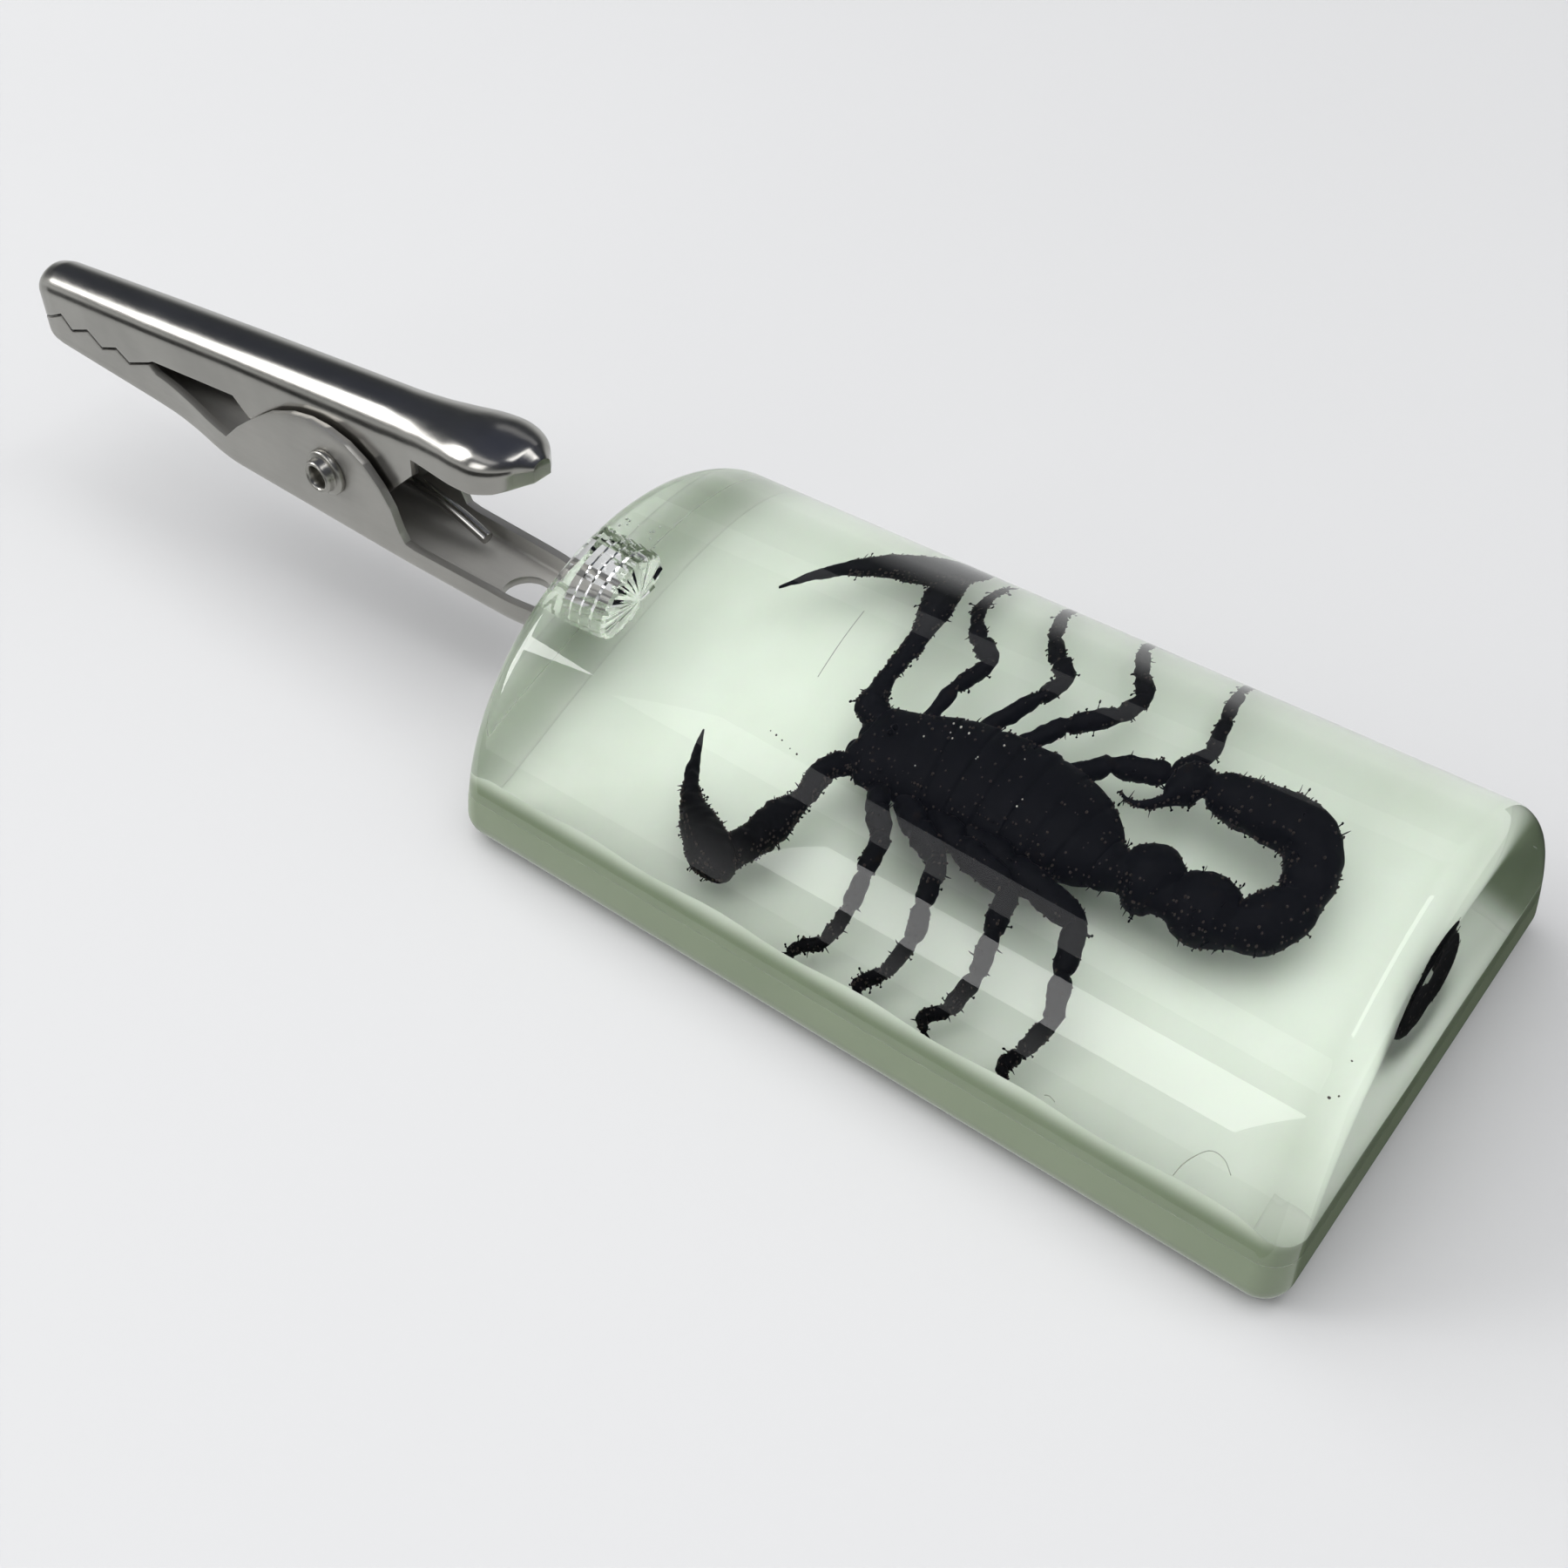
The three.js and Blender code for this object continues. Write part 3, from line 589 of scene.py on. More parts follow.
def glow_backing():
    """The flat layer under the clear resin, with the bar's rounded edges."""
    corner_steps = 10
    side_steps = 6

    def ring_at(end, lift):
        top = math.asin(BACKING_TOP / (INNER_RADIUS + EDGE_ROUND * math.cos(lift)))
        near = []
        for i in range(side_steps + 1):
            near.append(bar_point(end, lift, top + (LOW_ANGLE - top) * i / side_steps))
        for i in range(1, corner_steps + 1):
            angle = LOW_ANGLE - (LOW_ANGLE + math.pi / 2) * i / corner_steps
            near.append(corner_point(end, lift, angle))
        points, directions = zip(*near)
        return near + list(zip(mirrored(points), mirrored(directions)))

    rings = bar_rings(ring_at)
    verts, faces = loft([[p for p, _ in ring] for ring in rings])
    normals = [n for ring in rings for _, n in ring]
    count = len(rings[0])
    # flat are the underside, the top and both end faces
    flat = set(r * count + k for r in range(len(rings) - 1) for k in (count // 2 - 1, count - 1))
    flat |= {len(faces) - 2, len(faces) - 1}
    piece = make_object("glow_layer", verts, faces)
    set_normals(piece, normals, flat)
    # painted shade on the layer's sides and underside; the top fades to painted shade near the end walls
    add_materials(piece, backing_material("glow_layer_side_painted_shade", SHADED_SIDE_GREEN, polished=True),
                  backing_material("glow_layer_top_shaded_ends", LIGHT_GREEN, END_SHADE_GREEN, END_SHADE_FADE))
    for polygon in piece.data.polygons:
        polygon.material_index = 1 if polygon.normal.z > 0.99 else 0
    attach(piece, "block")
    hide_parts("glow_backing")


def backing_curbs():
    """The four curbs: pale on their slopes, with painted shade low on their walls, on the slopes near the
    end walls and on the far slope next to its wall.
    """
    # painted shade: darker low on the curb walls, fading to the pale green towards their tops
    wall = backing_material("glow_curb_wall_painted_shade", CURB_WALL_SHADE_GREEN, LIGHT_GREEN, WALL_SHADE_FADE)
    # painted shade on the slopes near the end walls
    slope = backing_material("glow_curb_slope_shaded_ends", LIGHT_GREEN, END_SHADE_GREEN, END_SHADE_FADE)
    # painted shade on the far slope next to its wall
    far_shaded_slope = backing_material("glow_curb_far_painted_shade", LIGHT_GREEN, FAR_SHADE_GREEN, FAR_SHADE_FADE)
    curbs = [("near", (0, -1, 0), long_curb_rings(-1, MENISCUS_WIDTH), slope),
             ("far", (0, 1, 0), long_curb_rings(1, FAR_MENISCUS_WIDTH), far_shaded_slope),
             ("left", (-1, 0, 0), end_curb_rings(-1), slope),
             ("right", (1, 0, 0), end_curb_rings(1), slope)]
    for name, outward, sections, inner in curbs:
        curb = make_object(f"glow_meniscus_{name}", *loft(sections))
        add_materials(curb, inner, wall)
        for polygon in curb.data.polygons:
            sideways = abs(polygon.normal.cross(Vector(outward)).z) > 0.7
            facing = polygon.normal.dot(outward) > 0.5
            polygon.material_index = 1 if sideways or facing else 0
        curb.data.set_sharp_from_angle(angle=math.radians(60))
        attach(curb, "block")


# ---- the specimen

# Body outline from above: x, far and near edge in y, half-height.
TRUNK = [
    (-5.1, 0.0, -2.5, 0.75), (-4.6, 0.6, -2.9, 1.0), (-3.0, 0.95, -2.8, 1.2), (-1.0, 1.6, -2.75, 1.3),
    (1.0, 1.8, -2.75, 1.35), (3.0, 1.8, -2.75, 1.35), (5.0, 1.45, -2.7, 1.25), (6.6, 0.7, -2.65, 1.1),
    (7.4, -0.1, -2.2, 0.85),
]
SHIELD_END = -2.9
TERGITES = 7
# Middle lines of the tail, the arms and the pincers from above: x, y, half-width.
TAIL = [
    (7.0, -1.17, 0.9), (7.6, -1.17, 1.0), (8.2, -1.15, 0.78), (8.7, -1.0, 1.15), (9.5, -0.93, 1.36),
    (10.2, -1.05, 1.1), (10.55, -1.2, 0.8), (11.1, -1.1, 1.15), (12.1, -1.02, 1.35), (12.9, -1.08, 1.15),
    (13.35, -1.1, 0.85), (13.9, -0.75, 1.1), (14.55, -0.2, 1.2), (15.0, 0.5, 1.1), (15.05, 1.05, 0.95),
    (14.95, 1.8, 1.12), (14.5, 2.75, 1.12), (13.6, 3.4, 1.05), (12.3, 3.5, 1.02), (10.8, 3.48, 0.92),
    (9.6, 3.5, 0.72), (9.15, 3.5, 0.48), (8.75, 3.4, 0.72), (8.3, 3.15, 0.84), (8.05, 2.65, 0.62),
    (7.9, 2.25, 0.3), (7.5, 1.85, 0.19), (6.95, 1.6, 0.12), (6.45, 1.6, 0.08), (6.1, 1.78, 0.03),
]
ARMS = [
    [(-4.5, -0.3, 0.45), (-5.3, 0.1, 0.5), (-6.0, 0.35, 0.68), (-6.3, 1.3, 0.5), (-6.4, 2.4, 0.45),
     (-6.45, 3.4, 0.5), (-6.6, 4.2, 0.55), (-7.0, 5.2, 0.78), (-7.5, 6.2, 0.75), (-7.9, 7.0, 0.6)],
    [(-4.5, -1.9, 0.45), (-5.2, -2.5, 0.5), (-5.75, -3.2, 0.62), (-5.75, -4.4, 0.52), (-5.85, -5.3, 0.55),
     (-6.05, -6.2, 0.85), (-6.25, -7.2, 0.9), (-6.5, -8.2, 0.78), (-7.0, -9.2, 0.8)],
]
HANDS = [
    [(-6.9, 8.0, 0.5), (-7.5, 7.7, 0.95), (-8.3, 7.1, 1.12), (-9.4, 6.55, 0.9), (-10.6, 6.05, 0.68),
     (-11.9, 5.3, 0.42), (-13.1, 4.35, 0.28), (-14.2, 3.1, 0.06)],
    [(-6.3, -10.4, 0.5), (-6.9, -10.2, 0.95), (-7.8, -9.7, 1.22), (-9.0, -8.7, 0.95), (-9.95, -7.9, 0.6),
     (-10.75, -6.85, 0.4), (-11.45, -5.5, 0.26), (-12.05, -4.1, 0.06)],
]
# Joints of each leg: x, y, z, radius.
LEGS = [
    [(-3.3, -2.2, 4.6, 0.4), (-2.5, -3.8, 5.1, 0.5), (-1.5, -4.6, 5.0, 0.42), (-1.15, -6.6, 4.8, 0.4),
     (-0.85, -8.2, 4.4, 0.34), (-1.0, -10.3, 4.0, 0.28), (-1.9, -11.0, 3.8, 0.28),
     (-2.1, -11.8, 3.75, 0.16)],
    [(-2.0, -2.3, 4.6, 0.45), (-0.4, -3.7, 5.1, 0.52), (1.3, -4.35, 5.0, 0.44), (1.95, -6.6, 4.8, 0.42),
     (2.4, -8.1, 4.4, 0.36), (2.1, -10.1, 4.0, 0.28), (1.35, -11.0, 3.8, 0.28), (1.5, -11.8, 3.75, 0.16)],
    [(-0.6, -2.3, 4.6, 0.45), (1.6, -3.5, 5.1, 0.55), (4.7, -4.1, 5.0, 0.46), (5.2, -6.2, 4.8, 0.42),
     (5.65, -8.1, 4.4, 0.36), (5.35, -10.1, 4.0, 0.3), (4.5, -11.0, 3.8, 0.28), (4.9, -11.7, 3.75, 0.16)],
    [(0.8, -2.3, 4.6, 0.45), (4.0, -3.25, 5.1, 0.58), (8.0, -4.0, 5.0, 0.48), (8.7, -6.3, 4.8, 0.44),
     (9.4, -8.3, 4.4, 0.38), (8.9, -10.3, 4.05, 0.3), (8.55, -11.3, 3.85, 0.28), (9.0, -11.9, 3.8, 0.16)],
    [(-3.4, 0.5, 4.6, 0.32), (-3.3, 2.5, 5.1, 0.36), (-2.7, 4.1, 5.0, 0.34), (-4.0, 4.75, 4.8, 0.32),
     (-5.0, 5.45, 4.5, 0.26), (-5.7, 6.4, 4.2, 0.24), (-5.75, 7.6, 3.9, 0.14)],
    [(-1.2, 1.1, 4.6, 0.34), (0.3, 3.6, 5.1, 0.38), (0.8, 4.75, 5.0, 0.34), (-0.3, 5.4, 4.8, 0.32),
     (-1.4, 6.2, 4.5, 0.26), (-2.3, 7.4, 4.2, 0.24), (-2.9, 9.2, 3.85, 0.14)],
    [(0.6, 1.3, 4.6, 0.36), (2.2, 3.1, 5.1, 0.4), (3.9, 4.3, 5.1, 0.38), (4.25, 5.5, 5.0, 0.34),
     (3.2, 6.3, 4.7, 0.28), (2.1, 7.5, 4.3, 0.24), (1.4, 9.6, 3.85, 0.14)],
    [(3.2, 1.3, 4.6, 0.36), (5.0, 2.75, 4.6, 0.42), (7.3, 3.5, 4.4, 0.38), (8.25, 4.8, 4.5, 0.34),
     (7.7, 6.2, 4.5, 0.28), (7.1, 7.6, 4.2, 0.24), (6.8, 10.0, 3.85, 0.14)],
]
TAIL_FLATTEN = 0.9
HAND_FLATTEN = 0.85
JOINT_PINCH = 0.72
SEGMENT_SWELL = 1.12
BRISTLE_RADIUS = 0.034


class Carcass:
    """Collects the specimen's closed tubes, bristles and grains in one mesh."""

    def __init__(self):
        self.verts = []
        self.faces = []
        self.kinds = []
        self.rng = random.Random(21)

    def add(self, verts, faces, kind=0):
        first = len(self.verts)
        self.verts += verts
        self.faces += [tuple(first + k for k in face) for face in faces]
        self.kinds += [kind] * len(faces)

    def tube(self, stations, sides, step, roughen):
        """A smooth tube through [x, y, z, half-width, half-height]; returns its surface points."""
        rows = spline(stations, step)
        at = [Vector(row[:3]) for row in rows]
        rings = []
        surface = []
        for k, (_, _, _, half_width, half_height) in enumerate(rows):
            along = heading(at, k)
            across = Vector((along.y, -along.x, 0)).normalized()
            up = across.cross(along)
            ring = []
            for i in range(sides):
                angle = 2 * math.pi * i / sides
                out = across * math.cos(angle) * max(half_width, 0.02)
                out += up * math.sin(angle) * max(half_height, 0.02)
                spot = at[k] + out
                rough = noise.fractal(spot * 1.7, 0.8, 2.2, 5) * roughen
                spot = at[k] + out + out.normalized() * rough * min(1.0, out.length / 0.3)
                ring.append(spot)
                surface.append((spot, out.normalized(), angle))
            rings.append(ring)
        self.add(*loft(rings))
        return surface

    def thorn(self, root, out, length, radius, knob=0.0):
        """A thin four-sided bristle that starts just under the surface; a knob thickens its end."""
        side = out.orthogonal().normalized()
        other = out.cross(side)
        droop = Vector([self.rng.uniform(-0.25, 0.25) for _ in range(3)]) * length
        profile = [(-0.15, 1.0), (0.55, 0.75), (1.0, 0.3)]
        if knob:
            profile = [(-0.15, 1.0), (0.6, 0.7), (0.75, knob), (0.95, knob), (1.05, 0.3)]
        rings = []
        for share, width in profile:
            middle = root + out * length * share + droop * share * abs(share)
            rings.append([middle + (side * c + other * s) * radius * width
                          for c, s in ((1, 0), (0, 1), (-1, 0), (0, -1))])
        self.add(*loft(rings))

    def grain(self, root, out, size):
        """A crumb of dried matter stuck to the surface."""
        side = out.orthogonal().normalized()
        other = out.cross(side)
        rings = []
        for share, width in ((-0.6, 0.6), (0.0, 1.0), (0.7, 0.75), (1.1, 0.2)):
            ring = []
            for c, s in circle(5):
                reach = size * width * self.rng.uniform(0.75, 1.25)
                ring.append(root + out * size * share + (side * c + other * s) * reach)
            rings.append(ring)
        self.add(*loft(rings), kind=1)

    def cover(self, surface, bristles, grains, length, where=None):
        """Scatters bristles and grains over a surface."""
        choices = [row for row in surface if where is None or where(row)]
        rng = self.rng
        for _ in range(bristles):
            spot, out, _ = rng.choice(choices)
            lean = Vector((rng.uniform(-1, 1), rng.uniform(-1, 1), rng.uniform(-0.4, 0.4))) * 0.4
            knob = 1.7 if rng.random() < 0.45 else 0.0
            reach = length * rng.uniform(0.4, 1.3)
            self.thorn(spot, (out + lean).normalized(), reach, BRISTLE_RADIUS, knob)
        for _ in range(grains):
            spot, out, _ = rng.choice(choices)
            self.grain(spot, out, rng.uniform(0.025, 0.075))


def trunk_stations():
    """The body: a smooth shield in front, then plates that each step up to the next."""
    def at(x, step):
        for row, following in zip(TRUNK, TRUNK[1:]):
            if x <= following[0] + 1e-6:
                t = (x - row[0]) / (following[0] - row[0])
                _, far, near, half = (a + (b - a) * t for a, b in zip(row, following))
                return (x, (far + near) / 2, BODY_Z, (far - near) / 2 + step, half + step)
        raise ValueError(x)

    rows = [(TRUNK[0][0] - 0.12, -1.2, BODY_Z, 0.85, 0.45)]  # the blunt front
    rows += [at(x, 0.0) for x in (-5.1, -4.85, -4.6, -4.2, -3.8, -3.4, -3.0)]
    plate = (TRUNK[-1][0] - SHIELD_END) / TERGITES
    for i in range(TERGITES):
        front = SHIELD_END + plate * i
        for back, step in ((0.06, -0.05), (0.3, 0.0), (plate * 0.7, 0.03), (plate, 0.05)):
            rows.append(at(front + back, step))
    return rows


def limb_stations(joints):
    """A leg: pinched at its joints and a little swollen between them."""
    rows = []
    for k, (x, y, z, r) in enumerate(joints):
        rows.append((x, y, z, r * JOINT_PINCH, r * JOINT_PINCH))
        if k + 1 == len(joints):
            break
        for share in (0.18, 0.55, 0.86):
            mx, my, mz, mr = (a + (b - a) * share for a, b in zip(joints[k], joints[k + 1]))
            rows.append((mx, my, mz, mr * SEGMENT_SWELL, mr * SEGMENT_SWELL))
    return rows


def on_edge(row):
    """Whether a surface point shows near the tube's outline from above."""
    return abs(math.cos(row[2])) > 0.6


def on_top(row):
    return math.sin(row[2]) > 0.2


def flat_stations(rows, share):
    """Stations at the mid-plane from x, y, half-width, with share of that as half-height."""
    return [(x, y, BODY_Z, half, half * share) for x, y, half in rows]


def grow_legs(carcass):
    """Eight legs, each with a hairy foot and three claws."""
    for leg in LEGS:
        surface = carcass.tube(limb_stations(leg), 14, 0.12, 0.09)
        carcass.cover(surface[len(surface) // 5:], 24, 90, 0.22)
        foot = surface[len(surface) * 4 // 5:]
        carcass.cover(foot, 16, 40, 0.26)
        tip = Vector(leg[-1][:3])
        away = (tip - Vector(leg[-2][:3])).normalized()
        for side in (-1, 0.2, 1):
            claw = away + Vector((away.y, -away.x, 0)) * 0.7 * side + Vector((0, 0, -0.1))
            carcass.thorn(tip, claw.normalized(), 0.5, 0.09)


def grow_head(carcass):
    """Two blunt mouthparts in front of the shield and two eyes on it."""
    mouthpart = [(-4.6, BODY_Z, 0.42), (-5.35, BODY_Z, 0.42), (-5.6, BODY_Z, 0.2)]
    for y in (-0.75, -1.65):
        carcass.tube([(x, y, z, r, r) for x, z, r in mouthpart], 16, 0.1, 0.06)
    eye = [(-4.1, 6.02, 0.06), (-3.95, 6.05, 0.15), (-3.8, 6.02, 0.06)]
    for y in (-0.82, -1.12):
        carcass.tube([(x, y, z, r, r) for x, z, r in eye], 12, 0.06, 0.0)


def scorpion():
    carcass = Carcass()
    body = carcass.tube(trunk_stations(), 40, 0.16, 0.02)
    carcass.cover(body, 30, 300, 0.16, on_edge)
    carcass.cover(body, 0, 120, 0.2, on_top)
    tail = carcass.tube(flat_stations(TAIL, TAIL_FLATTEN), 28, 0.14, 0.07)
    carcass.cover(tail, 95, 560, 0.24, on_edge)
    carcass.cover(tail, 8, 70, 0.2, on_top)
    for arm in ARMS:
        surface = carcass.tube(flat_stations(arm, HAND_FLATTEN), 24, 0.12, 0.11)
        carcass.cover(surface, 45, 330, 0.22, on_edge)
        carcass.cover(surface, 3, 25, 0.2, on_top)
    for hand in HANDS:
        surface = carcass.tube(flat_stations(hand, HAND_FLATTEN), 24, 0.12, 0.07)
        carcass.cover(surface[: len(surface) * 2 // 3], 34, 300, 0.22, on_edge)
    grow_legs(carcass)
    grow_head(carcass)

    piece = make_object("scorpion_specimen", carcass.verts, carcass.faces)
    for polygon, kind in zip(piece.data.polygons, carcass.kinds):
        polygon.material_index = kind
    add_materials(piece, cuticle_material(), fleck_material("dried_grains", (0.022, 0.012, 0.007)))
    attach(piece, "block")
    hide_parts("scorpion")


def finish_speck(name, shape, colour):
    """A piece in one dull colour that rides with the bar."""
    piece = make_object(name, shape.verts, shape.faces)
    add_materials(piece, fleck_material(name + "_matter", colour))
    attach(piece, "block")


def crumbs(name, spots, size, colour, seed):
    """Little irregular lumps at the given places."""
    lumps = Carcass()
    lumps.rng.seed(seed)
    for spot in spots:
        out = Vector([lumps.rng.uniform(-1, 1) for _ in range(3)]).normalized()
        lumps.grain(Vector(spot), out, size * lumps.rng.uniform(0.6, 1.3))
    finish_speck(name, lumps, colour)


def fibre(name, route, radius, colour):
    """A hair or a scratch in the resin: a thin tube along a smooth route."""
    line = Carcass()
    line.tube([(*spot, radius, radius) for spot in route], 6, 0.15, 0.0)
    finish_speck(name, line, colour)


def inclusions():
    """Specks on the specimen's back, dust, two hairs and a scratch in the resin, chips by the socket."""
    rng = random.Random(5)
    back = []
    for _ in range(22):
        x = rng.uniform(-2.6, 3.4)
        back.append((x, -0.55 + 0.1 * x + rng.gauss(0, 0.75), BODY_Z + 1.36 - 0.05 * abs(x)))
    crumbs("pale_specks", back, 0.045, (0.75, 0.72, 0.66), 3)
    dust = [(-6.84, -7.06, 10.48), (-6.5, -7.1, 10.45), (-6.12, -7.18, 10.4), (-5.17, -7.37, 10.26),
            (20.6, -7.78, 9.74), (20.73, -8.74, 8.82), (20.5, -8.9, 8.7), (-5.6, -7.3, 10.3)]
    crumbs("dust", dust, 0.05, (0.07, 0.06, 0.05), 4)
    fibre("hair_long", [(16.63, -12.03, 4.07), (16.9, -11.72, 4.84), (17.52, -11.35, 5.62),
                        (18.14, -11.34, 5.64), (18.61, -11.54, 5.23)], 0.010, (0.48, 0.51, 0.42))
    fibre("hair_short", [(10.79, -11.96, 4.27), (11.01, -11.94, 4.36), (11.29, -11.97, 4.24)],
          0.012, (0.45, 0.48, 0.38))
    fibre("scratch", [(-6.36, -4.37, 11.91), (-6.6, -2.4, 12.45), (-6.85, -0.41, 12.76)],
          0.009, (0.45, 0.48, 0.42))
    rim = []
    for _ in range(26):
        x = -19.3 + rng.uniform(-1.2, 1.2)
        y = SOCKET_Y + rng.uniform(-0.9, 1.2)
        rim.append((x, y, 11.6 + rng.uniform(-0.7, 0.6)))
    crumbs("chips", rim, 0.06, (0.5, 0.52, 0.5), 6)


# ---- the clip

CLIP_MATRIX = (Matrix.Translation(CLIP_ORIGIN * MM)
               @ Matrix.Rotation(math.pi, 4, "Z")
               @ Matrix.Rotation(-CLIP_TILT, 4, "Y"))

# The line between the jaws' teeth, from the tip: u, w.
TEETH = [(JAW_TIP + 1, -1.45), (26.4, -1.82), (25.5, -1.5), (24.2, -0.85), (23.45, -1.62), (21.7, -0.9),
         (20.55, -1.6), (19.0, -0.98), (17.95, -1.52), (15.9, -0.65)]
TEETH_GAP = 0.09

# Upper jaw: u, half-width, height of its shoulders, height of its crown; and its lower edge: u, w.
UPPER = [
    (JAW_TIP, 0.9, -0.5, 0.3), (26.45, 1.25, -0.2, 0.9), (25.95, 1.42, -0.05, 1.3), (25.1, 1.5, 0.03, 1.55),
    (16.0, 1.66, 1.18, 2.72), (8.0, 1.72, 2.2, 3.74), (0.0, 1.8, 2.98, 4.75), (-4.5, 1.86, 3.42, 5.3),
    (-6.5, 2.0, 3.75, 5.6), (-8.0, 2.2, 4.1, 5.85), (-9.6, 2.42, 4.45, 6.15), (-11.1, 2.45, 4.7, 6.3),
    (-12.3, 2.05, 4.9, 6.2), (-13.1, 1.45, 5.05, 6.05), (-13.6, 0.85, 5.15, 5.75), (-13.85, 0.3, 5.2, 5.45),
]
UPPER_EDGE = [(u, w + TEETH_GAP) for u, w in TEETH] + [
    (15.4, -0.3), (8.2, 0.6), (7.2, -0.35), (5.5, -1.3), (2.0, -2.2), (-1.2, -2.25), (-3.0, -1.3),
    (-4.6, 0.5), (-6.44, 2.28), (-6.5, 3.3), (-9.6, 3.5), (-11.1, 3.6), (-12.3, 3.9), (-13.1, 4.25),
    (-15, 5.0),
]
# Lower jaw: u, half-width, height of its underside; and its upper edge: u, w.
LOWER = [
    (JAW_TIP, 0.9, -2.7), (26.4, 1.3, -3.15), (25.9, 1.45, -3.35), (25.1, 1.52, -3.42), (16.0, 1.68, -3.5),
    (14.0, 1.76, -3.52), (12.0, 2.0, -3.55), (10.0, 2.34, -3.62), (8.4, EAR_HALF, -3.7),
    (-5.4, EAR_HALF, -3.7), (-13.0, 2.35, -3.7), (-15.2, 1.95, -3.7), (-16.8, 1.15, -3.4),
    (-17.6, 0.9, -3.1), (-19.4, 0.85, -2.95),
]
LOWER_EDGE = [(u, w - TEETH_GAP) for u, w in TEETH] + [
    (15.4, -1.1), (8.5, -1.83), (7.2, -0.6), (5.96, 0.36), (4.2, 1.55), (2.3, 2.36), (0.8, 2.68),
    (-0.6, 2.68), (-2.0, 2.4), (-3.25, 1.75), (-4.3, 0.7), (-4.95, -0.3), (-5.35, -1.5),
    (-5.7, -2.15), (-6.4, -2.25), (-11.6, -2.2), (-14.1, -2.25), (-16.2, -2.4), (-21, -2.4),
]
STATION_STEP = 0.22
TIP_ZONE = 24.5  # beyond this u the rows are followed closely
NICKEL_TONE = (0.40, 0.39, 0.365)
# Roughness and metalness of the outside; the lower jaw's plating is duller.
PLATING = {"clip_upper_jaw": (0.2, 1.0), "clip_lower_jaw": (0.36, 0.8)}
INSIDE_ROUGH = 0.6  # the sheet's inside is unpolished
INSIDE_METAL = 0.35
BRUSHED = (1.0, 9.0, 9.0)  # the streaks run along the clip
TAIL_HOLE_U = -12.3
TAIL_HOLE_V = 0.3
TAIL_HOLE_RADIUS = 1.3


def row_at(rows, u):
    """The row at u, straight between the given ones, which run in falling order of u."""
    for row, following in zip(rows, rows[1:]):
        if u >= following[0]:
            t = (row[0] - u) / (row[0] - following[0])
            return [a + (b - a) * t for a, b in zip(row, following)]
    return list(rows[-1])


def eased(rows, u, reach):
    """row_at, averaged over a short stretch, so that bends in plan and profile are soft."""
    samples = [row_at(rows, min(rows[0][0], max(rows[-1][0], u + reach * k / 3))) for k in range(-3, 4)]
    mean = [sum(column) / len(samples) for column in zip(*samples)]
    mean[0] = u
    return mean


def cuts(start, end, corners, step):
    """Places along the clip from start down to end: every step, and at every corner of an outline."""
    places = {round(start - step * i, 3) for i in range(int((start - end) / step) + 1)}
    places |= {round(u, 3) for u in corners if end < u < start}
    places |= {start, end}
    ordered = sorted(places, reverse=True)
    kept = [ordered[0]]
    for u in ordered[1:]:
        if kept[-1] - u > 0.02:
            kept.append(u)
    return kept


def jaw_stations(rows, outline, reach):
    """Sections of a jaw from its tip: u, the row's other values there, and the outline's height."""
    for u in cuts(JAW_TIP, rows[-1][0], [u for u, _ in outline], STATION_STEP):
        yield u, eased(rows, u, reach if u < TIP_ZONE else 0.12)[1:], row_at(outline, u)[1]


def upper_jaw():
    walls = 8
    arch = 28
    rings = []
    for u, (half, shoulder, crown), edge in jaw_stations(UPPER, UPPER_EDGE, 0.5):
        edge = min(edge, shoulder - 0.02)
        side = [(u, -half, edge + (shoulder - edge) * i / walls) for i in range(walls)]
        over = []
        for i in range(arch + 1):
            angle = math.pi * i / arch
            height = shoulder + (crown - shoulder) * math.sin(angle)
            over.append((u, -half * math.cos(angle), height))
        rings.append(side + over + mirrored(side))
    finish_sheet("clip_upper_jaw", rings, "upper_jaw", cap_last=True)


def lower_jaw():
    walls = 10
    bend = 6
    radius = 0.6
    floor = 10
    rings = []
    for u, (half, under), edge in jaw_stations(LOWER, LOWER_EDGE, 0.6):
        edge = max(edge, under + radius + 0.02)
        low = under + radius
        near = [(u, -half, edge + (low - edge) * i / walls) for i in range(walls)]
        for i in range(bend + 1):
            angle = math.pi / 2 * i / bend
            v = -half + radius - radius * math.cos(angle)
            near.append((u, v, low - radius * math.sin(angle)))
        span = half - radius
        flat = [(u, -span + 2 * span * i / floor, under) for i in range(1, floor)]
        rings.append(near + flat + mirrored(near))
    finish_sheet("clip_lower_jaw", rings, "block", cap_last=False)


def finish_sheet(node, rings, body, cap_last):
    """Pressed sheet over open rings, closed at the tip and, with cap_last, at the other end."""
    verts, faces = loft(rings, closed=False)
    if not cap_last:
        faces.pop()
    piece = make_object(node + "_sheet", verts, faces)
    rough, metal = PLATING[node]
    add_materials(piece, nickel_material("nickel_" + node, NICKEL_TONE, rough, BRUSHED, metal),
                  nickel_material("inside_" + node, NICKEL_TONE, INSIDE_ROUGH, BRUSHED, INSIDE_METAL))
    modifier(piece, "SOLIDIFY", thickness=SHEET * MM, offset=-1.0, use_even_offset=False, material_offset=1)
    if node == "clip_lower_jaw":
        cutter = tail_hole_cutter()
        modifier(piece, "BOOLEAN", operation="DIFFERENCE", object=cutter, solver="EXACT")
    apply_modifiers(piece)
    if node == "clip_lower_jaw":
        bpy.data.objects.remove(cutter)
    bevel(piece, SHEET_BEVEL, 50)
    place_on_clip(piece, 40)
    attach(piece, body)
    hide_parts(node)


